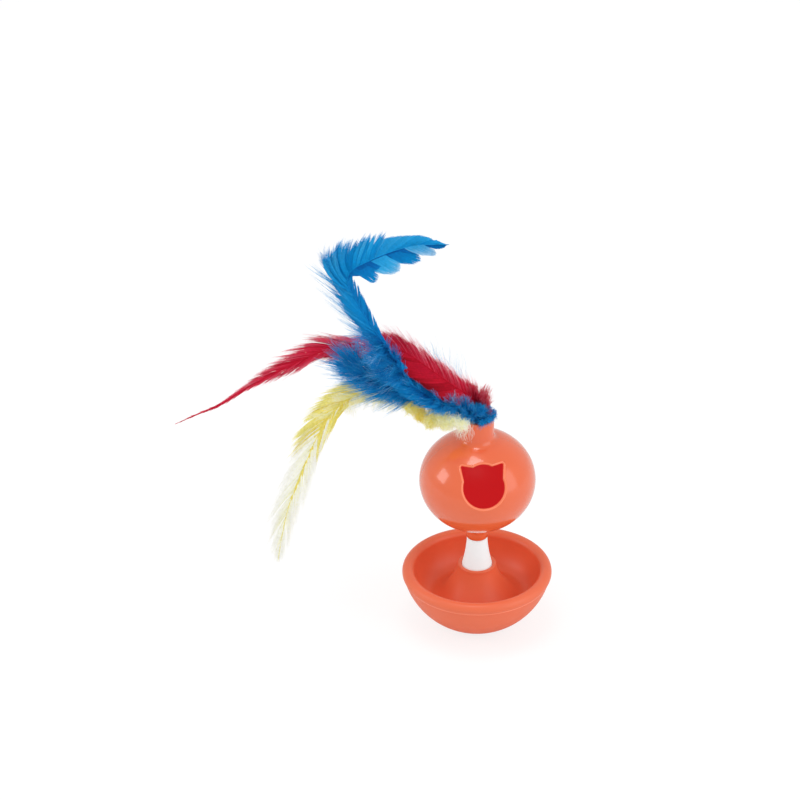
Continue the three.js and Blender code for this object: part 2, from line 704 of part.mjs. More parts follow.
const base = new THREE.Group();
base.add(mesh('base_lower_shell', baseLowerShell(), orangeSatin));
base.add(mesh('base_upper_tray', baseUpperTray(), orangeSatin));
base.add(mesh('counterweight', counterweight(), castIron));
bossPlaces.forEach(([x, y], i) => {
  const geometry = screw(weightScrewRadius, weightScrewLength, weightScrewHeadRadius, weightScrewHeadHeight);
  const piece = mesh(`weight_screw_${i + 1}`, geometry, steel);
  piece.position.set(x, y, weightHeadZ);
  base.add(piece);
});
base.add(mesh('stem', stem(), whitePlastic));

const stemWasherTopZ = socketUnderZ - seatGap;
const stemWasherZ = stemWasherTopZ - stemWasherThickness;
const stemWasherHole = stemScrewRadius + seatGap;
const stemWasher = ring(stemWasherHole, stemWasherRadius, stemWasherZ, stemWasherTopZ, mediumSides);
base.add(mesh('stem_washer', stemWasher, steel));
const stemScrewGeometry = screw(stemScrewRadius, stemScrewLength, stemScrewHeadRadius, stemScrewHeadHeight);
const stemScrew = mesh('stem_screw', stemScrewGeometry, steel);
stemScrew.rotation.x = Math.PI;
stemScrew.position.z = stemWasherZ - seatGap;
base.add(stemScrew);

const thrustTopZ = thrustWasherZ + thrustWasherThickness;
const thrustWasher = ring(spindleBore, thrustWasherRadius, thrustWasherZ, thrustTopZ, mediumSides);
base.add(mesh('thrust_washer', thrustWasher, steel));

const retainingHole = retainingScrewRadius + seatGap;
const retainingTopZ = retainingWasherZ + retainingWasherThickness;
base.add(mesh('retaining_washer', ring(
  retainingHole, retainingWasherRadius, retainingWasherZ, retainingTopZ, mediumSides,
), steel));
const retainingScrew = mesh('retaining_screw', screw(
  retainingScrewRadius, retainingScrewLength, retainingScrewHeadRadius, retainingScrewHeadHeight,
), steel);
retainingScrew.position.z = retainingTopZ + seatGap;
base.add(retainingScrew);

const ball = new THREE.Group();
ball.add(mesh('ball_front_shell', ballFrontShell(), orangeGloss));
ball.add(mesh('ball_rear_shell', ballRearShell(), orangeGloss));
ball.add(mesh('feather_plug', featherPlug(), plugRubber));
for (const [name, feather] of Object.entries(feathers)) {
  ball.add(mesh(name, featherSolid(feather), feather.material));
}

toy.add(base, ball);

export default toy;
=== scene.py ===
# %% [markdown]
# # A spinning treat ball with feathers
# The toy stands on a weighted round base with a bowl. A white post carries a hollow ball that spins, treats
# fall out of a cat head opening in it, and four dyed feathers sit in its neck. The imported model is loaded
# as a frame that never moves. Its box is kept, so that the dressed toy can be compared with it at the end.

import math

import bmesh
import bpy
import numpy as np
from mathutils import Matrix, Vector


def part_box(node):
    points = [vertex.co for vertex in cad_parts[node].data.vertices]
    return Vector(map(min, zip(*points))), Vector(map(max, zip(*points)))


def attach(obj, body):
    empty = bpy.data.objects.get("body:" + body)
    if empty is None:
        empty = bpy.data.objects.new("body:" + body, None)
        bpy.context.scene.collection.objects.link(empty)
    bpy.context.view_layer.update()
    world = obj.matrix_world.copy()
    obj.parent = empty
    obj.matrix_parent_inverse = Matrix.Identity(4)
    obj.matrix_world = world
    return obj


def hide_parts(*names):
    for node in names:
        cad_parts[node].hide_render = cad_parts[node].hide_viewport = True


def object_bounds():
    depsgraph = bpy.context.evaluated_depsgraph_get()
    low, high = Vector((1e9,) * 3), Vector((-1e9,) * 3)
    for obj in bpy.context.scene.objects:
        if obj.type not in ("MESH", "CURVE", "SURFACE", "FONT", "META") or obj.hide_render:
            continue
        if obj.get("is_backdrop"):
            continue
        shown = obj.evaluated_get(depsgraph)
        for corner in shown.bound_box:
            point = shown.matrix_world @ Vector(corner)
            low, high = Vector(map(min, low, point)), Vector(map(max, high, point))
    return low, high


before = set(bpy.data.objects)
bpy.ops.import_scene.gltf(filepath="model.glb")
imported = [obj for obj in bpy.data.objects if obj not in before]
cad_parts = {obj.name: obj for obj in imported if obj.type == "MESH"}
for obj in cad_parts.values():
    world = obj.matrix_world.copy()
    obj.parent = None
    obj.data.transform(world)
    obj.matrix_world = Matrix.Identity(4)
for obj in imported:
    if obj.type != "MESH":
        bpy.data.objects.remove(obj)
cad_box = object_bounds()
MM = 0.001

# %% [markdown]
# ## The camera
# The photograph was taken with a long lens from about 32 degrees above, a few degrees to the left of the
# opening. A long lens far away keeps the feathers and the base at one scale. The camera looks at a point up
# and to the left of the base, because the feathers reach far to the left. FRAME_WIDTH is how many metres the
# picture spans there.

# %% Aim the camera
CAMERA_AZIMUTH = math.radians(-7.5)
CAMERA_ELEVATION = math.radians(32.5)
CAMERA_DISTANCE = 5
FRAME_WIDTH = 0.4295
SENSOR_WIDTH = 36
AIM_HEIGHT = 39.6 * MM
AIM_LEFT = 41.34 * MM
AIM_UP = 84.94 * MM


def in_scene(name, data):
    """A new object that holds the data, linked into the scene."""
    made = bpy.data.objects.new(name, data)
    bpy.context.scene.collection.objects.link(made)
    return made


camera_right = Vector((math.cos(CAMERA_AZIMUTH), math.sin(CAMERA_AZIMUTH), 0))
camera_back = Vector((
    math.sin(CAMERA_AZIMUTH) * math.cos(CAMERA_ELEVATION),
    -math.cos(CAMERA_AZIMUTH) * math.cos(CAMERA_ELEVATION),
    math.sin(CAMERA_ELEVATION),
))
camera_up = camera_back.cross(camera_right)
aim = Vector((0, 0, AIM_HEIGHT)) + camera_right * -AIM_LEFT + camera_up * AIM_UP
camera = in_scene("camera", bpy.data.cameras.new("camera"))
turn = Matrix((camera_right, camera_up, camera_back)).transposed()
camera.matrix_world = Matrix.Translation(aim + camera_back * CAMERA_DISTANCE) @ turn.to_4x4()
camera.data.sensor_width = SENSOR_WIDTH
camera.data.lens = SENSOR_WIDTH * CAMERA_DISTANCE / FRAME_WIDTH
bpy.context.scene.camera = camera
print("lens", round(camera.data.lens, 1), "mm")

# %% [markdown]
# ## The floor
# The toy stands on a white studio table. Its white could come from strong lamps, but they would bleach the
# toy as well. So the floor glows white only where the camera sees it, straight or through something clear.
# A share of it stays plain paper, which still gets darker where the toy keeps light off it.

# %% Lay the floor
FLOOR_REACH = 4
FLOOR_SHADE = 0.3
FLOOR_GLOW = 1.13
PAPER_WHITE = 0.92


def node_tree(name):
    material = bpy.data.materials.new(name)
    material.use_nodes = True
    return material, material.node_tree.nodes, material.node_tree.links


def set_inputs(node, values):
    """Sets a node's inputs by their names, and gives the node back."""
    for name, value in values.items():
        node.inputs[name].default_value = value
    return node


def linear(red, green, blue):
    """A colour given as 0 to 255, as a picture editor shows it, turned into the light that a shader needs."""
    def one(value):
        value = value / 255
        return value / 12.92 if value <= 0.04045 else ((value + 0.055) / 1.055) ** 2.4
    return (one(red), one(green), one(blue), 1)


bpy.context.scene.view_settings.view_transform = "Standard"
floor_mesh = bmesh.new()
bmesh.ops.create_grid(floor_mesh, x_segments=1, y_segments=1, size=FLOOR_REACH)
floor_data = bpy.data.meshes.new("floor")
floor_mesh.to_mesh(floor_data)
floor_mesh.free()
floor = in_scene("floor", floor_data)
floor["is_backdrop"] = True

floor_white, nodes, links = node_tree("floor_white")
paper = set_inputs(nodes["Principled BSDF"], {
    "Base Color": (PAPER_WHITE, PAPER_WHITE, PAPER_WHITE, 1), "Roughness": 0.8, "Specular IOR Level": 0.2,
})
glow = set_inputs(nodes.new("ShaderNodeEmission"), {"Strength": FLOOR_GLOW})
rays = nodes.new("ShaderNodeLightPath")
seen = nodes.new("ShaderNodeMath")
seen.operation = "MAXIMUM"
share = nodes.new("ShaderNodeMath")
share.operation = "MULTIPLY"
share.inputs[1].default_value = 1 - FLOOR_SHADE
mixed = nodes.new("ShaderNodeMixShader")
links.new(rays.outputs["Is Camera Ray"], seen.inputs[0])
links.new(rays.outputs["Is Transmission Ray"], seen.inputs[1])
links.new(seen.outputs[0], share.inputs[0])
links.new(share.outputs[0], mixed.inputs["Fac"])
links.new(paper.outputs[0], mixed.inputs[1])
links.new(glow.outputs[0], mixed.inputs[2])
links.new(mixed.outputs[0], nodes["Material Output"].inputs["Surface"])
floor.data.materials.append(floor_white)
print("floor reaches", max(v.co.x for v in floor_data.vertices), "m to each side")

# %% [markdown]
# ## The light
# A studio table is lit from all sides. Here the world gives an even white light, and three square soft
# boxes give the gloss its highlights: a small one over the toy, a small one low on the left, and a large one
# in front on the right, which also models the bowl.

# %% Hang the lamps
WORLD_LIGHT = 0.64
LIT_POINT = Vector((0, 0, 0.09))
world = bpy.data.worlds.new("studio")
bpy.context.scene.world = world
world.use_nodes = True
set_inputs(world.node_tree.nodes["Background"], {"Color": (1, 1, 1, 1), "Strength": WORLD_LIGHT})


def soft_box(name, direction, distance, width, power):
    lamp = bpy.data.lights.new(name, "AREA")
    lamp.shape = "SQUARE"
    lamp.size = width
    lamp.energy = power
    box = in_scene(name, lamp)
    box.location = LIT_POINT + Vector(direction).normalized() * distance
    box.rotation_mode = "QUATERNION"
    box.rotation_quaternion = Vector(direction).to_track_quat("Z", "Y")


soft_box("lamp_top", (-0.1, -0.13, 0.98), distance=1.1, width=0.4, power=2.3)
soft_box("lamp_left", (-0.94, 0, 0.38), distance=0.9, width=0.34, power=1.1)
soft_box("lamp_right", (0.8, -0.6, 0.4), distance=1.3, width=1.1, power=4.6)

# %% [markdown]
# ## Plastic finishes
# Moulded plastic is never one flat colour. The pigment is a little uneven, the skin has a very fine grain
# from the mould, and handling rubs the gloss. So one function mixes two close colours with a soft noise,
# changes the roughness a little with another, and adds a fine bump. Sizes are in metres, so the grain keeps
# its real size. Four small functions add the nodes that every finish here needs.

# %% Nodes that every finish needs
NOISE_RANGE = (0.3, 0.7)


def mixed_colour(nodes, links, factor, first, second):
    mix = nodes.new("ShaderNodeMix")
    mix.data_type = "RGBA"
    set_inputs(mix, {"A": first, "B": second})
    links.new(factor, mix.inputs["Factor"])
    return mix.outputs["Result"]


def noise(nodes, links, place, scale, detail):
    made = set_inputs(nodes.new("ShaderNodeTexNoise"), {"Scale": scale, "Detail": detail})
    links.new(place.outputs["Object"], made.inputs["Vector"])
    return made.outputs["Fac"]


def between(nodes, links, value, low, high):
    """Spreads a noise, which seldom leaves NOISE_RANGE, from low to high."""
    made = set_inputs(nodes.new("ShaderNodeMapRange"), {
        "From Min": NOISE_RANGE[0], "From Max": NOISE_RANGE[1], "To Min": low, "To Max": high,
    })
    links.new(value, made.inputs["Value"])
    return made.outputs["Result"]


def grained(nodes, links, height, depth, strength):
    """Presses a noise into the skin as bumps of a depth in metres."""
    bump = set_inputs(nodes.new("ShaderNodeBump"), {"Strength": strength, "Distance": depth})
    links.new(height, bump.inputs["Height"])
    links.new(bump.outputs["Normal"], nodes["Principled BSDF"].inputs["Normal"])


print("a noise is read from", NOISE_RANGE[0], "to", NOISE_RANGE[1])

# %% [markdown]
# The plastics differ in colour, gloss and grain. The ball is polished and has a thin clear coat, and the base
# is
# satin. Painted light: the rounded edges get a paler colour and a weak glow, a painted highlight. A weak glow
# also paints the light that soaks through a thin wall: in the lining of the ball, which is painted a deeper
# red, in the paler edge of its opening, and in the white post.

# %% Mix the plastics
CLOUDS_PER_M = 45
SCUFFS_PER_M = 130
PLASTIC_IOR = 1.5


def plastic(name, light, deep, rough, grain, grain_depth, coat=0.0, glow=0.0):
    """Two close colours, a range of roughness, and a mould grain of so many bumps per metre."""
    material, nodes, links = node_tree(name)
    skin = nodes["Principled BSDF"]
    place = nodes.new("ShaderNodeTexCoord")
    cloud = noise(nodes, links, place, CLOUDS_PER_M, detail=4)
    links.new(mixed_colour(nodes, links, cloud, linear(*light), linear(*deep)), skin.inputs["Base Color"])
    scuffs = noise(nodes, links, place, SCUFFS_PER_M, detail=6)
    links.new(between(nodes, links, scuffs, *rough), skin.inputs["Roughness"])
    grained(nodes, links, noise(nodes, links, place, grain, detail=2), grain_depth, strength=0.5)
    # The glow, an emission in the light colour, is painted light and not a lamp.
    set_inputs(skin, {
        "Coat Weight": coat, "Coat Roughness": 0.06, "IOR": PLASTIC_IOR,
        "Emission Color": linear(*light), "Emission Strength": glow,
    })
    return material


base_orange = plastic("base_orange", (248, 120, 80), (242, 110, 69), (0.36, 0.46), 2600, 0.02 * MM)
ball_orange = plastic("ball_orange", (247, 113, 66), (241, 104, 56), (0.2, 0.27), 900, 0.006 * MM, coat=0.6)
# Painted light: the lining is a deeper red with a weak glow, and the cut edge is paler with a weak glow.
ball_lining = plastic("ball_lining", (226, 58, 64), (214, 50, 56), (0.3, 0.4), 1500, 0.01 * MM, glow=0.23)
cut_edge = plastic("cut_edge", (252, 138, 100), (250, 130, 90), (0.2, 0.27), 900, 0.006 * MM, glow=0.08)
# Painted highlight: this paler colour with a weak glow stands in for the light that rounded edges catch.
highlit_edge = plastic("highlit_edge", (255, 156, 124), (252, 146, 112), (0.3, 0.4), 2600, 0.01 * MM, glow=0.1)
# The post's weak glow is painted light that brightens its shaded side.
stem_white = plastic("stem_white", (234, 247, 248), (229, 243, 245), (0.32, 0.42), 2200, 0.01 * MM, glow=0.25)
print("plastics", base_orange.name, ball_orange.name, stem_white.name)

# %% [markdown]
# ## Turned shapes
# Nearly every hard piece of this toy is round about the post's axis. Such a piece is quickest made as a
# potter would: draw half of its cut face as a line of (radius, height) points, and spin the line. After a
# full turn the first and last copies are merged, the doubles on the axis are removed, and the normals are
# made to point out.

# %% Spin a profile
MERGE_DISTANCE = 1e-6


def spun(profile, closed=True, steps=180):
    """The bmesh of a profile of (radius, height) points in metres, turned about the vertical axis."""
    bm = bmesh.new()
    spots = [bm.verts.new((r, 0, z)) for r, z in profile]
    lines = [bm.edges.new(pair) for pair in zip(spots, spots[1:])]
    if closed:
        lines.append(bm.edges.new((spots[-1], spots[0])))
    bmesh.ops.spin(bm, geom=spots + lines, cent=(0, 0, 0), axis=(0, 0, 1), angle=math.radians(360),
                   steps=steps, use_merge=True)
    bmesh.ops.remove_doubles(bm, verts=bm.verts, dist=MERGE_DISTANCE)
    bmesh.ops.recalc_face_normals(bm, faces=bm.faces)
    return bm


square_ring = spun([(1, 0), (2, 0), (2, 1), (1, 1)], steps=8)
print("a square profile in 8 steps has", len(square_ring.faces), "faces")
square_ring.free()

# %% [markdown]
# A finished bmesh becomes a piece in one way for the whole toy. Faces that meet softly are shaded smooth, the
# object stays at the origin, and the piece is told which body it moves with and which finish it stands for.
# Its hard edges get a narrow bevel afterwards, because no moulded or turned edge is perfectly sharp, and a
# rounded edge catches the light.

# %% Finish a piece
def piece_from(bm, name, material, body, smooth_up_to=38):
    """Turns a bmesh into a finished piece: object at the origin, smooth where its faces meet softly."""
    data = bpy.data.meshes.new(name)
    bm.to_mesh(data)
    bm.free()
    data.shade_smooth()
    data.set_sharp_from_angle(angle=math.radians(smooth_up_to))
    piece = in_scene(name, data)
    data.materials.append(material)
    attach(piece, body)
    return piece


def softened(piece, width, angle=40, highlit=False):
    """A small rounding along every sharp edge, as moulded edges have, with a paler painted highlight if
    asked.
    """
    bevel = piece.modifiers.new("edge_rounding", "BEVEL")
    bevel.width = width
    bevel.segments = 2
    bevel.limit_method = "ANGLE"
    bevel.angle_limit = math.radians(angle)
    if highlit:
        piece.data.materials.append(highlit_edge)
        bevel.material = 1


# The highlit edge finish is a painted highlight.
print("worn edges are finished in", highlit_edge.name)

# %% [markdown]
# Profiles need arcs and soft curves. An arc is worked out from its centre and two radii. A Bezier curve is
# worked out by blending neighbouring control points until one is left. A third function moves a line
# sideways, which gives the inner side of a wall.

# %% Draw arcs and curves
def arc(x, z, across, up, start, end, steps):
    """Points of an arc about (x, z). Angles are in degrees, 0 outwards and 90 up."""
    angles = np.radians(np.linspace(start, end, steps + 1))
    return [(x + across * math.cos(a), z + up * math.sin(a)) for a in angles]


def bezier(points, steps):
    """Points of a Bezier curve with three or four control points, without the first."""
    made = []
    for t in np.linspace(0, 1, steps + 1)[1:]:
        row = [np.array(p, float) for p in points]
        while len(row) > 1:
            row = [(1 - t) * a + t * b for a, b in zip(row, row[1:])]
        made.append(tuple(row[0]))
    return made


def beside(points, distance):
    """The same line moved sideways, to its left hand side as it is walked."""
    p = np.array(points)
    along = np.gradient(p, axis=0)
    along /= np.linalg.norm(along, axis=1)[:, None]
    return [tuple(q) for q in p + np.stack([-along[:, 1], along[:, 0]], 1) * distance]


print("a quarter circle", [(round(x, 2), round(z, 2)) for x, z in arc(0, 0, 1, 1, 0, 90, 2)])

# %% [markdown]
# ## The round bottom
# The lower shell is a part of a ball with a small flat foot, so that the toy rocks and rights itself. Its
# top edge carries a thin tongue that snaps into the tray. The sizes come from the frame: the shell's box
# gives the height of the tongue, and the ball's radius is the one that the CAD solid has.

# %% Turn the lower shell
BOTTOM_RADIUS = 40.6 * MM
FOOT_RADIUS = 9 * MM
BASE_WALL = 1.8 * MM
GAP = 0.3 * MM
TONGUE_HEIGHT = 2.2 * MM
TONGUE_WALL = 1.2 * MM
tongue_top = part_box("base_lower_shell")[1].z
sphere_z = math.sqrt(BOTTOM_RADIUS**2 - FOOT_RADIUS**2)
seam_z = tongue_top - TONGUE_HEIGHT
seam_radius = math.sqrt(BOTTOM_RADIUS**2 - (sphere_z - seam_z) ** 2)
tongue_outer = seam_radius - BASE_WALL - GAP
tongue_inner = tongue_outer - TONGUE_WALL


def bottom_arc(radius, low_z, top_radius, steps):
    """Points of the round bottom from a height up to a radius."""
    low = -math.degrees(math.asin(min((sphere_z - low_z) / radius, 1)))
    high = -math.degrees(math.acos(top_radius / radius))
    return arc(0, sphere_z, radius, radius, low, high, steps)


outside = bottom_arc(BOTTOM_RADIUS, 0, seam_radius, 60)
inside = bottom_arc(BOTTOM_RADIUS - BASE_WALL, BASE_WALL, tongue_inner, 40)
lower_profile = [(0, 0)] + outside + [
    (tongue_outer, seam_z), (tongue_outer, tongue_top), (tongue_inner, tongue_top),
] + inside[::-1] + [(0, BASE_WALL)]
lower_bm = spun(lower_profile, closed=False)
lower_shell = piece_from(lower_bm, "lower_shell", base_orange, "base")
# The rounded top edge gets the paler highlit finish, a painted highlight.
softened(lower_shell, 0.4 * MM, highlit=True)
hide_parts("base_lower_shell")
print("lower shell", round(seam_radius / MM, 2), "mm radius at the seam")

# %% [markdown]
# ## The tray
# The tray is one thin moulding: a fat rolled rim, a soft trough for the treats, and a trumpet cone that
# rises in the middle and ends in a small lip round the post. The skin is drawn as an arc and two Bezier
# curves, and the underside is the same line moved inwards by the wall, so the wall is even everywhere.

# %% Turn the tray
RIM_ROLL = 3.2 * MM
RIM_RISE = 2.2 * MM
BOWL_DROP = 7 * MM
TROUGH_INSET = 8.75 * MM
TROUGH_CLEARANCE = 5.3 * MM
TROUGH_OUTER_FLAT = 4.5 * MM
TROUGH_INNER_FLAT = 5.5 * MM
CONE_WAIST = 1.4 * MM
CONE_WAIST_DROP = 8.8 * MM
LIP_ROLL = 1 * MM
SOCKET_DEPTH = 4.6 * MM
SOCKET_FLOOR = 1.8 * MM
STEM_FOOT_RADIUS = 7.95 * MM
STEM_HOLE = 1.9 * MM
UNDERSIDE_STEP = 0.1 * MM
rim_z = seam_z + RIM_RISE
rim_radius = seam_radius - math.sqrt(RIM_ROLL**2 - (rim_z - seam_z) ** 2)
rim_inner = rim_radius - RIM_ROLL
trough_radius = rim_inner - TROUGH_INSET
inner_bottom_z = sphere_z - math.sqrt((BOTTOM_RADIUS - BASE_WALL) ** 2 - trough_radius**2)
trough_z = inner_bottom_z + TROUGH_CLEARANCE + BASE_WALL
socket_radius = STEM_FOOT_RADIUS + GAP
lip_radius = socket_radius + LIP_ROLL
lip_outer = lip_radius + LIP_ROLL
stem_low, stem_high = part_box("stem")
lip_crest = stem_low.z - GAP + SOCKET_DEPTH
lip_z = lip_crest - LIP_ROLL
socket_z = lip_crest - SOCKET_DEPTH
socket_under = socket_z - SOCKET_FLOOR

skirt = seam_z + GAP / 3
roll_start = math.degrees(math.asin((skirt - rim_z) / RIM_ROLL))
roll = arc(rim_radius, rim_z, RIM_ROLL, RIM_ROLL, roll_start, 180, 40)
trough = (trough_radius, trough_z)
bowl_side = bezier([
    (rim_inner, rim_z), (rim_inner, rim_z - BOWL_DROP), (trough_radius + TROUGH_OUTER_FLAT, trough_z), trough,
], 34)
cone_side = bezier([
    trough, (trough_radius - TROUGH_INNER_FLAT, trough_z), (lip_outer + CONE_WAIST, lip_z - CONE_WAIST_DROP),
    (lip_outer, lip_z - LIP_ROLL / 3),
], 34)
skin = roll + bowl_side + cone_side
lip = arc(lip_radius, lip_z, LIP_ROLL, LIP_ROLL, 0, 180, 14)
underside = [p for p in beside(skin, BASE_WALL)[::-1] if p[0] > trough_radius or p[1] < socket_under]
tray_profile = skin + lip + [
    (socket_radius, socket_z), (STEM_HOLE, socket_z), (STEM_HOLE, socket_under),
    (underside[0][0] - UNDERSIDE_STEP, socket_under),
] + underside + [(seam_radius - BASE_WALL, skirt)]
tray = piece_from(spun(tray_profile, steps=220), "bowl_tray", base_orange, "base")
# The rounded edges get the paler highlit finish, a painted highlight.
softened(tray, 0.5 * MM, angle=50, highlit=True)
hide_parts("base_upper_tray")
print("tray", len(tray_profile), "profile points, trough at", round(trough_z / MM, 2), "mm")

# %% [markdown]
# ## The post
# The white post stands in the tray's socket, narrows upwards in a hollow curve, and ends in a thin spindle
# on which the ball turns. One profile holds the flare, the shoulder, the spindle and the two screw holes.

# %% Turn the post
STEM_TOP_RADIUS = 5.5 * MM
STEM_HEIGHT = 16.6 * MM
STEM_FLARE_POWER = 1.7
LOWER_HOLE_DEPTH = 14 * MM
SPINDLE_RADIUS = 3 * MM
SPINDLE_TOP_RADIUS = 2.6 * MM
SPINDLE_CHAMFER = 0.4 * MM
UPPER_HOLE = 1.55 * MM
UPPER_HOLE_DEPTH = 8 * MM
shoulder_z = lip_crest + STEM_HEIGHT
flare = []
for down in np.linspace(1, 0, 31):
    radius = STEM_TOP_RADIUS + (STEM_FOOT_RADIUS - STEM_TOP_RADIUS) * down**STEM_FLARE_POWER
    flare.append((radius, shoulder_z - STEM_HEIGHT * down))
stem_profile = [
    (0, socket_under + LOWER_HOLE_DEPTH), (STEM_HOLE, socket_under + LOWER_HOLE_DEPTH),
    (STEM_HOLE, stem_low.z), (STEM_FOOT_RADIUS, stem_low.z),
] + flare + [
    (SPINDLE_RADIUS, shoulder_z), (SPINDLE_RADIUS, stem_high.z - SPINDLE_CHAMFER),
    (SPINDLE_TOP_RADIUS, stem_high.z), (UPPER_HOLE, stem_high.z),
    (UPPER_HOLE, stem_high.z - UPPER_HOLE_DEPTH), (0, stem_high.z - UPPER_HOLE_DEPTH),
]
post = piece_from(spun(stem_profile, closed=False, steps=120), "post", stem_white, "base")
softened(post, 0.3 * MM)
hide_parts("stem")
print("post from", round(stem_low.z / MM, 1), "to", round(stem_high.z / MM, 1), "mm")

# %% [markdown]
# ## The ball
# The ball is moulded in two halves that meet in an upright seam at its sides. Each half is the same closed
# profile, with its wall, collar and neck. The sizes are those of the CAD solids, and the heights follow from
# the post's shoulder and from the boxes of the ball and the plug.

# %% Draw the ball's profile
BALL_RADIUS = 31.1 * MM
BALL_UP = 27.6 * MM
BALL_WALL = 2 * MM
COLLAR_RADIUS = 5.7 * MM
COLLAR_LENGTH = 8.3 * MM
COLLAR_STRAIGHT = 2.5 * MM
COLLAR_EDGE = 0.3 * MM
FUNNEL_RADIUS = 8.4 * MM
FUNNEL_PULL = 0.3 * MM
NECK_RADIUS = 8.75 * MM
NECK_BORE = 6.75 * MM
NECK_FILLET = 2.7 * MM
FILLET_PULL = 1.1 * MM
FILLET_HEIGHT = 3.8 * MM
NECK_EDGE = 0.7 * MM
MOUTH_CHAMFER = 0.3 * MM
LEDGE_WIDTH = 1.3 * MM
LANDING_RISE = 0.7 * MM
LANDING_RADIUS = 6.6 * MM
SPINDLE_BORE = 3.3 * MM
THRUST_SEAT_RADIUS = 4.8 * MM
THRUST_SEAT_RISE = 1.5 * MM
collar_z = shoulder_z + GAP
neck_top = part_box("ball_front_shell")[1].z
ball_z = collar_z + COLLAR_LENGTH + BALL_UP
plug_low, plug_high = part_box("feather_plug")
ledge_z = plug_low.z - GAP
landing_z = ball_z - BALL_UP + BALL_WALL + LANDING_RISE


def ball_arc(depth, from_radius, from_side, to_radius, to_side, steps):
    """Points of the ball's curve, so deep inside it, between two radii below (-1) or above (1) its middle."""
    radius = BALL_RADIUS - depth
    start = from_side * math.degrees(math.acos(from_radius / radius))
    end = to_side * math.degrees(math.acos(to_radius / radius))
    return arc(0, ball_z, radius, BALL_UP - depth, start, end, steps)


outer_curve = ball_arc(0, FUNNEL_RADIUS, -1, NECK_RADIUS + NECK_FILLET, 1, 96)
inner_curve = ball_arc(BALL_WALL, NECK_BORE - LEDGE_WIDTH, 1, LANDING_RADIUS, -1, 64)
collar_top = (COLLAR_RADIUS, collar_z + COLLAR_STRAIGHT)
funnel = bezier([collar_top, (COLLAR_RADIUS, ball_z - BALL_UP - FUNNEL_PULL), outer_curve[0]], 14)[:-1]
neck_foot = outer_curve[-1]
neck_fillet = bezier([
    neck_foot, (NECK_RADIUS, neck_foot[1] + FILLET_PULL), (NECK_RADIUS, neck_foot[1] + FILLET_HEIGHT),
], 14)
neck_mouth = arc(NECK_RADIUS - NECK_EDGE, neck_top - NECK_EDGE, NECK_EDGE, NECK_EDGE, 0, 90, 6)
thrust_seat_z = shoulder_z + THRUST_SEAT_RISE
ball_profile = [
    (COLLAR_RADIUS - COLLAR_EDGE, collar_z), (COLLAR_RADIUS, collar_z + COLLAR_EDGE), collar_top,
] + funnel + outer_curve + neck_fillet + neck_mouth + [
    (NECK_BORE + MOUTH_CHAMFER, neck_top), (NECK_BORE, neck_top - MOUTH_CHAMFER), (NECK_BORE, ledge_z),
    (NECK_BORE - LEDGE_WIDTH, ledge_z),
] + inner_curve + [
    (inner_curve[-1][0], landing_z), (SPINDLE_BORE, landing_z), (SPINDLE_BORE, thrust_seat_z),
    (THRUST_SEAT_RADIUS, thrust_seat_z), (THRUST_SEAT_RADIUS, collar_z),
]
print("ball profile", len(ball_profile), "points, middle at", round(ball_z / MM, 2), "mm")

# %% [markdown]
# The profile is spun through a full turn and cut by an upright plane, once for each half. The two planes lie
# a hair off the middle, so that the halves leave the fine seam line of such balls and no slit that light
# gets through. The open cut faces are filled.

# %% Spin and halve the ball
SEAM_HALF = 0.02 * MM
CUT_TOLERANCE = 1e-7


def half_ball(side):
    """Half of the ball: side -1 is the front, which has the opening, and 1 is the rear."""
    bm = spun(ball_profile, steps=220)
    bmesh.ops.bisect_plane(bm, geom=bm.verts[:] + bm.edges[:] + bm.faces[:], dist=CUT_TOLERANCE,
                           clear_inner=True, plane_co=(0, side * SEAM_HALF, 0), plane_no=(0, side, 0))
    rim = [e for e in bm.edges if e.is_boundary]
    for across in (-1, 1):
        bmesh.ops.contextual_create(bm, geom=[e for e in rim if e.verts[0].co.x * across > 0])
    bmesh.ops.triangulate(bm, faces=[f for f in bm.faces if len(f.verts) > 4])
    bmesh.ops.recalc_face_normals(bm, faces=bm.faces)
    return bm


front_half = half_ball(-1)
rear_half = half_ball(1)
print("front half", len(front_half.faces), "faces")

# %% [markdown]
# ## The cat head opening
# The opening is a round head with two ears, cut through the curved wall along an axis that leans up by 27
# degrees. Its outline is drawn flat first, as half a head of arcs and soft ear tips that is mirrored. The
# points are then spread evenly, and each knows which way is outwards. A second function carries a point
# along the axis to where it meets the ball's curve, at any depth in the wall.

# %% Draw the cat head
OPENING_TILT = math.radians(27)
HEAD_RADIUS = 11.1 * MM
HEAD_DROP = 1.9 * MM
EAR_FOOT = 20.5
EAR_TIP = (11.4 * MM, 10.3 * MM)
EAR_ROUND = 1.1 * MM
EAR_INNER = (5.05 * MM, 9.05 * MM)
CROWN_UP = 10.45 * MM
OUTLINE_POINTS = 220
ball_axes = np.array([BALL_RADIUS, BALL_RADIUS, BALL_UP])


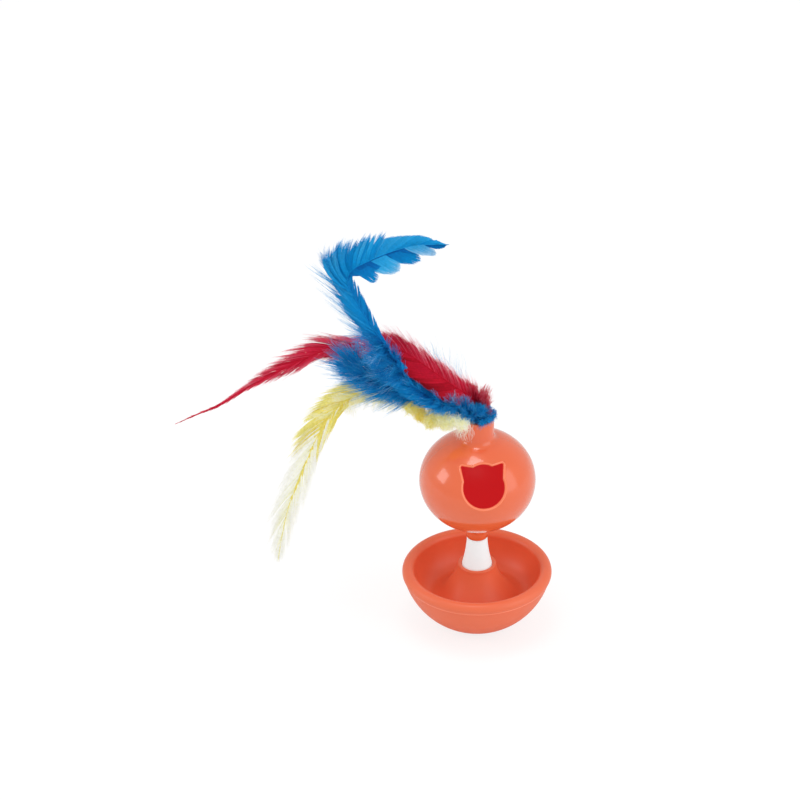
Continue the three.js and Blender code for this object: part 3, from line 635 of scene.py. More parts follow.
def head_outline(count):
    """Half the head is drawn from the ear's outer foot to the crown, then mirrored and closed by the chin."""
    foot = (HEAD_RADIUS * math.cos(math.radians(EAR_FOOT)),
            HEAD_RADIUS * math.sin(math.radians(EAR_FOOT)) - HEAD_DROP)
    tip, inner = np.array(EAR_TIP), np.array(EAR_INNER)
    before = tip + (np.array(foot) - tip) / np.linalg.norm(np.array(foot) - tip) * EAR_ROUND
    after = tip + (inner - tip) / np.linalg.norm(inner - tip) * EAR_ROUND
    rise = CROWN_UP - EAR_INNER[1]
    crown = (EAR_INNER[0] ** 2 + rise**2) / (2 * rise)
    crown_angle = math.degrees(math.asin(EAR_INNER[0] / crown))
    ear = [foot, tuple(before)] + bezier([tuple(before), tuple(tip), tuple(after)], 8)
    half = ear + arc(0, CROWN_UP - crown, crown, crown, 90 - crown_angle, 90, 12)
    chin = arc(0, -HEAD_DROP, HEAD_RADIUS, HEAD_RADIUS, 180 - EAR_FOOT, 360 + EAR_FOOT, 90)
    whole = np.array(half + [(-x, y) for x, y in half[::-1][1:]] + chin[1:])
    steps = np.r_[0, np.cumsum(np.linalg.norm(np.diff(whole, axis=0), axis=1))]
    wanted = np.linspace(0, steps[-1], count, endpoint=False)
    return np.stack([np.interp(wanted, steps, whole[:, k]) for k in (0, 1)], 1)


def on_ball(x, y, depth):
    """Where a point of the outline, carried along the opening's axis, meets the ball's curve at a depth."""
    axis = np.array([0, -math.cos(OPENING_TILT), math.sin(OPENING_TILT)])
    up = np.array([0, math.sin(OPENING_TILT), math.cos(OPENING_TILT)])
    start = np.array([x, 0, 0]) + up * y
    p, d = start / (ball_axes - depth), axis / (ball_axes - depth)
    a, b, c = d @ d, 2 * p @ d, p @ p - 1
    return start + axis * (-b + math.sqrt(b * b - 4 * a * c)) / (2 * a) + np.array([0, 0, ball_z])


outline = head_outline(OUTLINE_POINTS)
outward = np.roll(outline, -1, 0) - np.roll(outline, 1, 0)
outward = np.stack([outward[:, 1], -outward[:, 0]], 1) / np.linalg.norm(outward, axis=1)[:, None]
print("outline", len(outline), "points,", round(np.ptp(outline[:, 0]) / MM, 1), "mm wide")

# %% [markdown]
# The opening's edge is rounded evenly all the way, which a plain bevel can't do where the wall slants. So
# the cutter is made of rings. Each ring is the outline, a little larger towards the outside, laid on the
# ball's own curve at its own depth. Extruding the ring from level to level gives a cutter whose flare is
# the rounding.

# %% Build the cutter
OPENING_ROUND = 1.5 * MM
CUTTER_OUT = 5 * MM
CUTTER_IN = 4 * MM


def extruded(bm, edges):
    """Extrudes edges where they lie. Gives the new vertices, to be moved, and the new edges between them."""
    made = bmesh.ops.extrude_edge_only(bm, edges=edges)["geom"]
    fresh = {g for g in made if isinstance(g, bmesh.types.BMVert)}
    return fresh, [g for g in made if isinstance(g, bmesh.types.BMEdge) and fresh.issuperset(g.verts)]


levels = [(OPENING_ROUND, -CUTTER_OUT)]
for a in np.linspace(0, math.pi / 2, 9):
    levels.append((OPENING_ROUND * (1 - math.sin(a)), OPENING_ROUND * (1 - math.cos(a))))
levels.append((0, BALL_WALL + CUTTER_IN))

cutter_bm = bmesh.new()
place_in_ring = cutter_bm.verts.layers.int.new("place")
first_ring = outline + outward * levels[0][0]
ring = [cutter_bm.verts.new(on_ball(x, y, levels[0][1])) for x, y in first_ring]
edges = [cutter_bm.edges.new((a, b)) for a, b in zip(ring, ring[1:] + ring[:1])]
cap_edges = list(edges)
for k, v in enumerate(ring):
    v[place_in_ring] = k
for grow, depth in levels[1:]:
    fresh, edges = extruded(cutter_bm, edges)
    ring_line = outline + outward * grow
    for v in fresh:
        v.co = on_ball(*ring_line[v[place_in_ring]], depth)
bmesh.ops.contextual_create(cutter_bm, geom=cap_edges)
bmesh.ops.contextual_create(cutter_bm, geom=edges)
bmesh.ops.triangulate(cutter_bm, faces=[f for f in cutter_bm.faces if len(f.verts) > 4])
bmesh.ops.recalc_face_normals(cutter_bm, faces=cutter_bm.faces)
print("cutter", len(cutter_bm.faces), "faces")

# %% [markdown]
# A Boolean takes the cutter out of the front half. It needs two objects for the moment of the cut, so both
# are made, the result is copied into a new bmesh, and both are removed again.

# %% Cut the opening
def carved(bm, cutter, name):
    """The bmesh less the cutter, as a new bmesh."""
    kept = []
    for source, label in ((bm, name + "_whole"), (cutter, name + "_cutter")):
        data = bpy.data.meshes.new(label)
        source.to_mesh(data)
        source.free()
        kept.append(in_scene(label, data))
    cut = kept[0].modifiers.new("cut", "BOOLEAN")
    cut.operation = "DIFFERENCE"
    cut.solver = "MANIFOLD"
    cut.object = kept[1]
    done = kept[0].evaluated_get(bpy.context.evaluated_depsgraph_get())
    result = bmesh.new()
    result.from_mesh(done.to_mesh())
    done.to_mesh_clear()
    for o in kept:
        bpy.data.objects.remove(o)
    return result


front_cut = carved(front_half, cutter_bm, "front")
bmesh.ops.remove_doubles(front_cut, verts=front_cut.verts, dist=MERGE_DISTANCE)
front_shell = piece_from(front_cut, "ball_front", ball_orange, "ball", smooth_up_to=30)
rear_shell = piece_from(rear_half, "ball_rear", ball_orange, "ball", smooth_up_to=30)
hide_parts("ball_front_shell")
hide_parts("ball_rear_shell")
print("front shell", len(front_shell.data.polygons), "faces")

# %% [markdown]
# A Boolean leaves uneven slivers along its edge, and smooth shading shows them as stains in the gloss. The
# true direction of the ball's skin is known at every point, so it is written on those vertices as a custom
# normal.

# %% Give the ball's skin its true normals
ON_CURVE = 2e-4


def true_normals(piece):
    """Vertices within ON_CURVE of the skin or the lining get its normal, and those on sharp edges none."""
    data = piece.data
    at = np.array([v.co for v in data.vertices])
    at[:, 2] -= ball_z
    normals = np.zeros_like(at)
    for axes, outwards in ((ball_axes, 1), (ball_axes - BALL_WALL, -1)):
        on_curve = np.abs(np.linalg.norm(at / axes, axis=1) - 1) < ON_CURVE
        normals[on_curve] = outwards * (at / axes**2)[on_curve]
    for e in data.edges:
        if e.use_edge_sharp:
            normals[list(e.vertices)] = 0
    length = np.linalg.norm(normals, axis=1)
    normals[length > 0] /= length[length > 0][:, None]
    data.normals_split_custom_set_from_vertices([tuple(n) for n in normals])
    return int((length > 0).sum())


print("vertices with true normals", true_normals(front_shell), true_normals(rear_shell))

# %% [markdown]
# Painted light: the inside of the ball is painted a deeper red than its skin and given a weak glow, for the
# light that the wall lets through and that bounces about inside. The thin edge of the opening is painted
# paler with a weak glow, a painted highlight. Faces are told apart by how deep they lie in the wall, in
# shares of its thickness. The neck and the collar lie past the round of the ball, and keep the colour of the
# skin.

# %% Paint light on the lining and the edge of the opening
EDGE_FROM_DEPTH = 0.03
LINING_FROM_DEPTH = 0.8
ROUND_HALF_HEIGHT = BALL_UP - BALL_WALL * 1.4
EDGE_IN_FRONT_OF = -BALL_RADIUS * 0.4


def deeper(at, depth):
    """Whether a place, measured from the ball's middle, lies deeper in the wall than a share of it."""
    return np.linalg.norm(at / (ball_axes - BALL_WALL * depth)) < 1


def paint_light_by_depth(piece):
    piece.data.materials.append(ball_lining)
    piece.data.materials.append(cut_edge)
    counts = [0, 0, 0]
    for face in piece.data.polygons:
        at = np.array(face.center) - (0, 0, ball_z)
        in_round = abs(at[2]) < ROUND_HALF_HEIGHT
        kind = 0
        if in_round and deeper(at, LINING_FROM_DEPTH):
            kind = 1
        elif in_round and deeper(at, EDGE_FROM_DEPTH) and at[1] < EDGE_IN_FRONT_OF:
            kind = 2
        face.material_index = kind
        counts[kind] += 1
    return counts


print("faces of the skin, the lining and the edge", paint_light_by_depth(front_shell), paint_light_by_depth(rear_shell))

# %% [markdown]
# ## Small fittings
# Inside the ball a washer and a screw keep it on the spindle, and a soft plug holds the quills in the neck.
# They are small, but someone who looks through the opening or into the neck sees them, so they are turned
# afresh with round edges. What stays out of sight keeps its CAD solid and only gets a finish. Zinc plated
# steel and cast iron differ in colour, in gloss and in the size of their marks, so one function makes both.

# %% Metal and rubber
METAL_DARK_SHARE = 0.75
METAL_GRAIN_TIMES = 6


def metal(name, colour, rough, scale):
    """Cloudy marks, so many per metre, change the colour and the roughness. A finer grain gives bumps."""
    material, nodes, links = node_tree(name)
    skin = set_inputs(nodes["Principled BSDF"], {"Metallic": 1})
    place = nodes.new("ShaderNodeTexCoord")
    marks = noise(nodes, links, place, scale, detail=5)
    dark = tuple(value * METAL_DARK_SHARE for value in colour)
    links.new(mixed_colour(nodes, links, marks, linear(*colour), linear(*dark)), skin.inputs["Base Color"])
    links.new(between(nodes, links, marks, *rough), skin.inputs["Roughness"])
    grained(nodes, links, noise(nodes, links, place, scale * METAL_GRAIN_TIMES, detail=3), 0.02 * MM, 0.4)
    return material


zinc_steel = metal("zinc_steel", (200, 203, 207), (0.22, 0.38), 700)
cast_iron = metal("cast_iron", (96, 97, 100), (0.5, 0.75), 260)
plug_rubber = plastic("plug_rubber", (216, 98, 64), (200, 84, 52), (0.6, 0.75), 3000, 0.03 * MM)
print("finishes", zinc_steel.name, cast_iron.name, plug_rubber.name)

# %% [markdown]
# The washer is a spun rectangle. The screw has a point, a round head and a cross recess, which is cut in by
# two thin blocks. Its place comes from the washer that it presses on and from the box of the CAD screw.

# %% Turn the washer and the screw
WASHER_RADIUS = 5.4 * MM
SCREW_RADIUS = 1.25 * MM
SCREW_TIP_RADIUS = 0.4 * MM
SCREW_HEAD_RADIUS = 2.6 * MM
HEAD_EDGE = 0.6 * MM
RECESS_LENGTH = 2.9 * MM
RECESS_WIDTH = 0.62 * MM
RECESS_BLOCK = 1.7 * MM

washer_low, washer_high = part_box("retaining_washer")
washer_profile = [
    (UPPER_HOLE, washer_low.z), (WASHER_RADIUS, washer_low.z), (WASHER_RADIUS, washer_high.z),
    (UPPER_HOLE, washer_high.z),
]
washer = piece_from(spun(washer_profile, steps=64), "round_washer", zinc_steel, "base")
softened(washer, 0.12 * MM)
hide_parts("retaining_washer")

screw_low, screw_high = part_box("retaining_screw")
head_z = washer_high.z + GAP
dome = arc(0, head_z + HEAD_EDGE, SCREW_HEAD_RADIUS, screw_high.z - head_z - HEAD_EDGE, 0, 90, 10)
screw_profile = [
    (0, screw_low.z), (SCREW_TIP_RADIUS, screw_low.z), (SCREW_RADIUS, screw_low.z + SCREW_RADIUS),
    (SCREW_RADIUS, head_z), (SCREW_HEAD_RADIUS, head_z),
] + dome
screw_bm = spun(screw_profile, closed=False, steps=48)
cross = bmesh.new()
for x, y in ((RECESS_LENGTH, RECESS_WIDTH), (RECESS_WIDTH, RECESS_LENGTH)):
    block = Matrix.Translation((0, 0, screw_high.z)) @ Matrix.Diagonal((x, y, RECESS_BLOCK, 1))
    bmesh.ops.create_cube(cross, size=1, matrix=block)
screw = piece_from(carved(screw_bm, cross, "screw"), "round_screw", zinc_steel, "base")
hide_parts("retaining_screw")
print("screw from", round(screw_low.z / MM, 1), "to", round(screw_high.z / MM, 1), "mm")

# %% [markdown]
# The plug is a short rubber cylinder with a drilled hole for each quill. QUILL_ROOTS holds where the quills
# stand in it, in mm from the axis, and the feathers start from the same places later. The nodes that nobody
# sees keep their CAD solids, and only their material is changed.

# %% Drill the plug and finish what is hidden
QUILL_ROOTS = {"blue_long": (1.6, -3.1), "blue_down": (-3.2, -0.6), "red": (3, 1.5), "yellow": (-1, 3.2)}
DRILL_RADIUS = 1.1 * MM
DRILL_LENGTH = 16 * MM
DRILL_MIDDLE_UP = 9.7 * MM
plug_radius = NECK_BORE - GAP
plug_bm = spun([(0, plug_low.z), (plug_radius, plug_low.z), (plug_radius, plug_high.z), (0, plug_high.z)],
               closed=False, steps=72)
drills = bmesh.new()
for x, y in QUILL_ROOTS.values():
    drill_place = Matrix.Translation((x * MM, y * MM, plug_low.z + DRILL_MIDDLE_UP))
    bmesh.ops.create_cone(drills, cap_ends=True, segments=24, radius1=DRILL_RADIUS, radius2=DRILL_RADIUS,
                          depth=DRILL_LENGTH, matrix=drill_place)
plug = piece_from(carved(plug_bm, drills, "plug"), "neck_plug", plug_rubber, "ball")
softened(plug, 0.4 * MM)
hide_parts("feather_plug")

HIDDEN_STEEL = ("weight_screw_1", "weight_screw_2", "weight_screw_3", "stem_washer", "stem_screw",
                "thrust_washer")
for name, metal_finish in [("counterweight", cast_iron)] + [(name, zinc_steel) for name in HIDDEN_STEEL]:
    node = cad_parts[name]
    node.data.materials.clear()
    node.data.materials.append(metal_finish)
print("plug top at", round(plug_high.z / MM, 1), "mm, hidden nodes", len(HIDDEN_STEEL) + 1)

# %% [markdown]
# ## Feathers
# A feather is a quill with hundreds of barbs on each side. Towards the tip the barbs lie together as a
# vane, and near the foot they are loose curly down. Each quill here follows the line that its CAD solid
# follows: straight up in the plug, then a smooth curve through a few places, in mm from the middle of the
# neck's mouth. At every share of its length it knows three directions: along itself, across its vane, and
# out of the vane's front, which faces forwards and up.

# %% Follow the quill
VANE_TILT = math.radians(32.5)
VANE_FACES = Vector((0, -math.cos(VANE_TILT), math.sin(VANE_TILT)))
NECK_MOUTH = np.array([0, 0, neck_top])
QUILL_FOOT = -8 * MM
FOOT_SHARES = (1, 0.66, 0.33, 0.04)
STEPS_PER_STRETCH = 40
QUILL_SAMPLES = 500


class Quill:
    """A smooth line through the route, with the vane's three directions at every share of its length."""

    def __init__(self, root, route):
        x, y = root
        foot = [(x, y, share * QUILL_FOOT / MM) for share in FOOT_SHARES]
        p = np.array(foot + list(route), float) * MM
        p = np.vstack([2 * p[0] - p[1], p, 2 * p[-1] - p[-2]])
        gaps = np.sqrt(np.linalg.norm(np.diff(p, axis=0), axis=1))
        line = []
        for k in range(1, len(p) - 2):
            a, b, c = gaps[k - 1:k + 2]
            leave = ((p[k] - p[k - 1]) / a - (p[k + 1] - p[k - 1]) / (a + b) + (p[k + 1] - p[k]) / b) * b
            reach = ((p[k + 1] - p[k]) / b - (p[k + 2] - p[k]) / (b + c) + (p[k + 2] - p[k + 1]) / c) * b
            t = np.linspace(0, 1, STEPS_PER_STRETCH, endpoint=False)[:, None]
            line.append((2 * t**3 - 3 * t**2 + 1) * p[k] + (t**3 - 2 * t**2 + t) * leave
                        + (3 * t**2 - 2 * t**3) * p[k + 1] + (t**3 - t**2) * reach)
        line = np.vstack(line + [p[-2:-1]]) + NECK_MOUTH
        walked = np.r_[0, np.cumsum(np.linalg.norm(np.diff(line, axis=0), axis=1))]
        self.length = walked[-1]
        self.shares = np.linspace(0, 1, QUILL_SAMPLES)
        stops = self.shares * self.length
        self.middle = np.stack([np.interp(stops, walked, line[:, k]) for k in range(3)], 1)
        self.along = np.gradient(self.middle, axis=0)
        self.along /= np.linalg.norm(self.along, axis=1)[:, None]
        self.wide = np.cross(self.along, np.array(VANE_FACES))
        self.wide /= np.linalg.norm(self.wide, axis=1)[:, None]
        self.front = np.cross(self.wide, self.along)

    def at(self, share, what):
        share = np.clip(share, 0, 1)
        return np.stack([np.interp(share, self.shares, what[:, k]) for k in range(3)], -1)

    def ways(self, share):
        """The directions along, across and out of the front at some shares of the length."""
        return [self.at(share, what) for what in (self.along, self.wide, self.front)]


def unit(v):
    return v / np.maximum(np.linalg.norm(v, axis=-1, keepdims=True), 1e-12)


print("quills start", round(-QUILL_FOOT / MM, 1), "mm under the mouth")

# %% [markdown]
# ### The barbs of a vane
# Real barbs cling to each other and then part, so a vane drawn barb by barb at random looks like a brush.
# Here the barbs are worked out as centre lines, all at once in arrays: where each starts on the quill, the
# angle at which it leaves, and how it bends step by step. A table of rows gives length and angles along the
# quill. Neighbours share a tuft, which leans, twists and takes its tone as one. The small spreads of the
# random draws have no meaning of their own, and only keep neighbours from being alike.

# %% Work out the barbs of a vane
RIGHT, LEFT = 1, -1
BARB_TIP = 0.02 * MM
TUFT_TURN = 0.03
BARB_TURN = 0.02
TUFT_TWIST = 0.25
TONE_SPREAD = 0.05
PALE_POWER = 1.5


def table(rows, share, column):
    return np.interp(share, [row[0] for row in rows], [row[column] for row in rows])


def vane(quill, side, rows, count, seed, follow=0.3, tuft=(20, 60), pull=0.12, cup=0.1, ragged=0.05,
         lift=0.03, thick=0.15, steps=8, pale=(0.3, 0.2), tones=(0,), lobe=0):
    """Barbs on one side of a quill. Rows go (share, length in mm, first angle, last angle). Barbs cling in
    tufts of so many, and each tuft takes the next of the tones. Pull draws the barbs of a tuft together,
    cup bends them back, and lift and ragged spread tufts and lengths. Follow is how far a barb bends with
    the quill. The outer barbs of a tuft are shorter by the share lobe, which rounds its end."""
    rng = np.random.default_rng(seed)
    share = np.linspace(rows[0][0], rows[-1][0], count) + rng.normal(0, 0.3 / count, count)
    groups = np.zeros(count, int)
    k = group = 0
    while k < count:
        size = int(rng.integers(*tuft))
        groups[k:k + size] = group
        group += 1
        k += size
    middle = np.array([share[groups == g].mean() for g in range(group)])[groups]
    group_tilt = rng.normal(0, 1, group)[groups]
    group_turn = rng.normal(0, 1, group)[groups]
    group_tone = np.array([tones[g % len(tones)] for g in range(group)])[groups]
    length = table(rows, share, 1) * MM * (1 + rng.normal(0, ragged, count)).clip(0.5, 1.5)
    half = np.array([np.abs(share - middle)[groups == g].max() for g in range(group)])[groups] + 1e-9
    length *= 1 - lobe * (np.abs(share - middle) / half) ** 2
    first, last = np.radians(table(rows, share, 2)), np.radians(table(rows, share, 3))
    turn_by = group_turn * TUFT_TURN + rng.normal(0, BARB_TURN, count)
    place = quill.at(share, quill.middle)
    travelled = np.zeros(count)
    paths, flats = [], []
    for j in range(steps + 1):
        u = j / steps
        along, wide, front = quill.ways(share + follow * travelled / quill.length)
        angle = (first + (last - first) * u + turn_by)[:, None]
        out = np.cos(angle) * along + side * np.sin(angle) * wide
        out = unit(out + front * (group_tilt * lift - cup * u)[:, None])
        paths.append(place.copy())
        flats.append(unit(np.cross(front, out) + front * (TUFT_TWIST * group_tilt)[:, None]))
        step = out * (length / steps)[:, None]
        step += along * ((middle - share) * quill.length * pull * (2 * u + 0.2) / steps)[:, None]
        place = place + step
        travelled += np.cos(angle[:, 0]) * length / steps
    u = np.linspace(0, 1, steps + 1)[None, :]
    width = thick * MM * (1 - u) ** 0.7 * np.ones((count, 1)) + BARB_TIP
    tone = TONE_SPREAD * group_tilt + group_tone + rng.normal(0, TONE_SPREAD, count)
    shade = pale[0] + tone[:, None] + pale[1] * u**PALE_POWER
    return {"path": np.stack(paths, 1), "flat": np.stack(flats, 1), "width": width, "shade": shade}


print("barb tips", round(2 * BARB_TIP / MM, 2), "mm wide")

# %% [markdown]
# ### The down
# Down has no vane. Its barbs are threads that wind about their own line, and they mat together in locks that
# are lighter or darker than the next. So each thread is given a lock first, and the ends of a lock are drawn
# together.

# %% Wind the threads and pick the locks
THREAD_SEED = 500


def threads(start, middle, end, seed, curl=0.8, turns=1.3, thick=0.05, steps=8, shade=(0.4, 0.3), tone=0):
    """Loose curly barbs. Each bends from its start past its middle to its end, and winds about that line."""
    rng = np.random.default_rng(seed + THREAD_SEED)
    count = len(start)
    u = np.linspace(0, 1, steps + 1)[None, :, None]
    path = (1 - u) ** 2 * start[:, None] + 2 * u * (1 - u) * middle[:, None] + u**2 * end[:, None]
    ahead = unit(end - start)
    across = unit(np.cross(ahead, rng.normal(0, 1, (count, 3))))
    over = np.cross(ahead, across)
    phase = rng.uniform(0, 2 * math.pi, (2, count, 1))
    rate = rng.uniform(0.6, 1.4, (2, count, 1)) * turns * 2 * math.pi
    wind = [np.sin(rate[k] * u[:, :, 0] + phase[k]) - np.sin(phase[k]) for k in (0, 1)]
    aside = wind[0][:, :, None] * across[:, None] + wind[1][:, :, None] * over[:, None]
    path = path + aside * u * curl * MM
    flat = np.repeat(unit(np.cross(ahead, rng.normal(0, 1, (count, 3))))[:, None], steps + 1, 1)
    width = thick * MM * (1 - u[:, :, 0]) ** 0.5 * np.ones((count, 1)) + BARB_TIP
    tone = (tone + rng.normal(0, TONE_SPREAD, count))[:, None]
    tones = shade[0] + tone + shade[1] * u[:, :, 0] ** PALE_POWER
    return {"path": path, "flat": flat, "width": width, "shade": tones}


def in_locks(count, lock, seed):
    """The random draws of a patch of down, the number of its locks, and the lock of each thread."""
    rng = np.random.default_rng(seed)
    locks = max(count // lock, 1)
    return rng, locks, rng.integers(0, locks, count)


def gathered(points, which, locks, cling):
    """The points, each drawn towards the middle of its own lock."""
    size = np.maximum(np.bincount(which, minlength=locks), 1)[:, None]
    middle = np.stack([np.bincount(which, points[:, k], locks) for k in range(3)], 1) / size
    return points + (middle[which] - points) * cling


print("thread seeds start at", THREAD_SEED)

# %% [markdown]
# Three functions place such threads. The first lets them leave a stretch of the quill on the sides that are
# asked for, and the second curls them up in round lumps beside it.

# %% Place down along a quill and in lumps
def down(quill, low, high, count, seed, length, lean=60, around=(0, 180), bend=(0, 0, 0), lock=14, cling=0.4,
         **look):
    """Barbs that leave a stretch of the quill all round. They stand at the angle lean to it, on the sides
    given by around in degrees: 0 is the quill's right hand, 90 its front, 180 its left hand. Their ends bend
    aside, and about so many at a time cling together in a lock."""
    rng, locks, which = in_locks(count, lock, seed)
    share = rng.uniform(low, high, locks)[which] + rng.normal(0, 0.7 * MM / quill.length, count)
    start = quill.at(share, quill.middle)
    along, wide, front = quill.ways(share)
    turned = np.radians(rng.uniform(*around, locks)[which] + rng.normal(0, 9, count))[:, None]
    leaning = np.radians(lean + rng.normal(0, 12, locks)[which] + rng.normal(0, 6, count))[:, None]
    out = np.cos(leaning) * along + np.sin(leaning) * (np.cos(turned) * wide + np.sin(turned) * front)
    out = unit(out + rng.normal(0, 0.06, (count, 3)))
    size = (rng.uniform(*length, locks)[which] * rng.uniform(0.72, 1.1, count) * MM)[:, None]
    end = gathered(start + out * size + np.array(bend) * size, which, locks, cling)
    tone = rng.normal(0, 0.09, locks)[which]
    return threads(start, start + out * size * 0.5, end, seed, tone=tone, **look)


def puffs(quill, lumps, count, seed, hang=1, lock=16, cling=0.35, **look):
    """Round soft lumps. Each is (share of the quill, right hand, front, radius, tone), of which right hand,
    front and radius are in mm. A share hang of the strands starts on the quill, and the others lie curled up
    in the lump."""
    rng, locks, which = in_locks(count, lock, seed)
    lump = np.array(lumps, float)[np.arange(locks) % len(lumps)][which]
    share = lump[:, 0] + rng.normal(0, 0.006, count)
    start = quill.at(share, quill.middle)
    _, wide, front = quill.ways(share)
    centre = start + (wide * lump[:, 1:2] + front * lump[:, 2:3]) * MM
    reach = lump[:, 3:4] * MM
    towards = unit(rng.normal(0, 1, (locks, 3)))[which]
    far = rng.uniform(0.6, 1.1, (locks, 1))[which]
    end = centre + (towards * far + rng.normal(0, 0.16, (count, 3))) * reach
    middle = centre + (towards * 0.5 + rng.normal(0, 0.35, (count, 3))) * reach
    held = rng.random((count, 1)) < hang
    start = np.where(held, start, centre + rng.normal(0, 0.4, (count, 3)) * reach)
    tone = lump[:, 4] + rng.normal(0, 0.1, locks)[which]
    return threads(start, middle, gathered(end, which, locks, cling), seed, tone=tone, **look)


print("down is placed on quills of", QUILL_SAMPLES, "samples")

# %% [markdown]
# The third function is for the fluff at the neck's mouth. Its threads rise from the quill's foot, pass over
# the rim and hang down outside, so they are placed about the neck's axis and not along the quill.

# %% Hang down over the rim
def over_rim(root, around, count, seed, fall, out=(0.6, 2.2), rise=(7, 10), lock=8, cling=0.5, **look):
    """Strands that rise from a quill's foot, cross the neck's rim on the sides around, and hang by fall."""
    rng, locks, which = in_locks(count, lock, seed)
    turned = np.radians(rng.uniform(*around, locks)[which] + rng.normal(0, 3, count))[:, None]
    ray = np.concatenate([np.cos(turned), np.sin(turned), np.zeros_like(turned)], 1)
    lift = np.array([0, 0, 1.0])
    start = np.array([*root, 1.5]) * MM + rng.normal(0, 0.6, (count, 3)) * MM
    stand = rng.uniform(*out, (locks, 1))[which] * MM
    end = ray * (NECK_RADIUS + stand) - lift * rng.uniform(*fall, (locks, 1))[which] * MM
    middle = ray * (NECK_RADIUS + stand * 2.2) + lift * rng.uniform(*rise, (count, 1)) * MM
    end = gathered(end + rng.normal(0, 0.5, (count, 3)) * MM, which, locks, cling)
    tone = rng.normal(0, 0.08, locks)[which]
    return threads(start + NECK_MOUTH, middle + NECK_MOUTH, end + NECK_MOUTH, seed, tone=tone, **look)


print("rim of the neck", round(NECK_RADIUS / MM, 2), "mm from the axis")

# %% [markdown]
# ### Growing the barbs
# Thousands of barbs are too many to extrude one by one. But one extrude can grow all of them by one step:
# the mesh starts as a short edge for each barb, all edges are extruded together, and the new ends are moved
# to the barbs' next points. A whole number on each vertex remembers which barb it belongs to. A shade is
# kept on each vertex, for the dye to read.

# %% Grow strips
def grow_strips(bm, strands, layers):
    strand, side, shade = layers
    path, flat, width, tone = (strands[k] for k in ("path", "flat", "width", "shade"))
    left = path - flat * width[:, :, None]
    right = path + flat * width[:, :, None]
    edges = []
    for k in range(len(path)):
        pair = [bm.verts.new(left[k, 0]), bm.verts.new(right[k, 0])]
        for v, which in zip(pair, (0, 1)):
            v[strand], v[side], v[shade] = k, which, tone[k, 0]
        edges.append(bm.edges.new(pair))
    for j in range(1, path.shape[1]):
        fresh, edges = extruded(bm, edges)
        for v in fresh:
            k = v[strand]
            v.co = (right if v[side] else left)[k, j]
            v[shade] = tone[k, j]


TRIANGLES_PER_FACE = 2
print("each step of a barb is one face, or", TRIANGLES_PER_FACE, "triangles")

# %% [markdown]
# The quill grows the same way, from a small ring that is extruded along it, and its tip is closed. Quill
# and barbs then become one piece, which stands for the feather's CAD solid and moves with the ball.

# %% Grow a quill and finish a feather
QUILL_TIP_SHARE = 0.12
RING_CROWDING = 1.2


def grow_quill(bm, quill, layers, thick, shade_of, rings=70, sides=8):
    """A tapered tube from the quill's foot to its tip, so many mm in radius at its foot."""
    strand, side, shade = layers
    shares = np.linspace(0, 1, rings) ** RING_CROWDING
    radii = np.interp(shares, (0, 0.1, 1), (thick, thick, thick * QUILL_TIP_SHARE)) * MM
    ring = bmesh.ops.create_circle(bm, cap_ends=True, radius=1 * MM, segments=sides)["verts"]
    edges = list({e for v in ring for e in v.link_edges})
    for k, v in enumerate(ring):
        v[strand] = k
    for j, share in enumerate(shares):
        if j:
            ring, edges = extruded(bm, edges)
        middle = quill.at(share, quill.middle)
        _, wide, front = quill.ways(share)
        for v in ring:
            angle = 2 * math.pi * v[strand] / sides
            v.co = middle + (wide * math.cos(angle) + front * math.sin(angle)) * radii[j]
            v[shade] = shade_of(share)
    bmesh.ops.contextual_create(bm, geom=edges)


def feather_piece(name, node, material, groups, quill=None, thick=0, shade_of=None):
    """Barbs, and the quill where one is given, as one piece that stands for a CAD solid."""
    bm = bmesh.new()
    whole, real = bm.verts.layers.int, bm.verts.layers.float
    layers = (whole.new("strand"), whole.new("side"), real.new("shade"))
    if quill:
        grow_quill(bm, quill, layers, thick, shade_of)
        bmesh.ops.recalc_face_normals(bm, faces=bm.faces)
    for strands in groups:
        grow_strips(bm, strands, layers)
    piece = piece_from(bm, name, material, "ball", smooth_up_to=80)
    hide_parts(node)
    print(name, len(piece.data.polygons) * TRIANGLES_PER_FACE, "triangles")


print("a quill thins to", QUILL_TIP_SHARE, "of its foot")

# %% [markdown]
# ### Dyes
# Dyed feathers are deep in the middle of the vane and pale at the thin ends of the barbs, where light gets
# through. The shade on each vertex picks a colour from a ramp. A little sheen gives the soft edge light
# that fine fibres show. A weak glow in the dye's own colour is painted light: it stands for the light that
# passes through the barbs, and it brightens their shaded parts. It is strongest in the pale yellow.

# %% Mix the dyes
DYE_ROUGHNESS = 0.7
DYE_SHEEN = 0.03
STREAKS_PER_M = 900


def dye(name, stops, glow):
    """Stops go (shade, red, green, blue)."""
    material, nodes, links = node_tree(name)
    fibre = nodes["Principled BSDF"]
    shade = nodes.new("ShaderNodeAttribute")
    shade.attribute_name = "shade"
    ramp = nodes.new("ShaderNodeValToRGB")
    for element, stop in zip(ramp.color_ramp.elements, (stops[0], stops[-1])):
        element.position = stop[0]
        element.color = linear(*stop[1:])
    for stop in stops[1:-1]:
        ramp.color_ramp.elements.new(stop[0]).color = linear(*stop[1:])
    links.new(shade.outputs["Fac"], ramp.inputs["Fac"])
    place = nodes.new("ShaderNodeTexCoord")
    streak = noise(nodes, links, place, STREAKS_PER_M, detail=2)
    light = nodes.new("ShaderNodeHueSaturation")
    links.new(ramp.outputs["Color"], light.inputs["Color"])
    links.new(between(nodes, links, streak, 0.9, 1.08), light.inputs["Value"])
    links.new(light.outputs["Color"], fibre.inputs["Base Color"])
    # The glow is painted light in the dye's own colour.
    links.new(light.outputs["Color"], fibre.inputs["Emission Color"])
    set_inputs(fibre, {
        "Roughness": DYE_ROUGHNESS, "Sheen Weight": DYE_SHEEN, "Sheen Roughness": 0.4,
        "Specular IOR Level": 0.1, "Emission Strength": glow,
    })
    return material


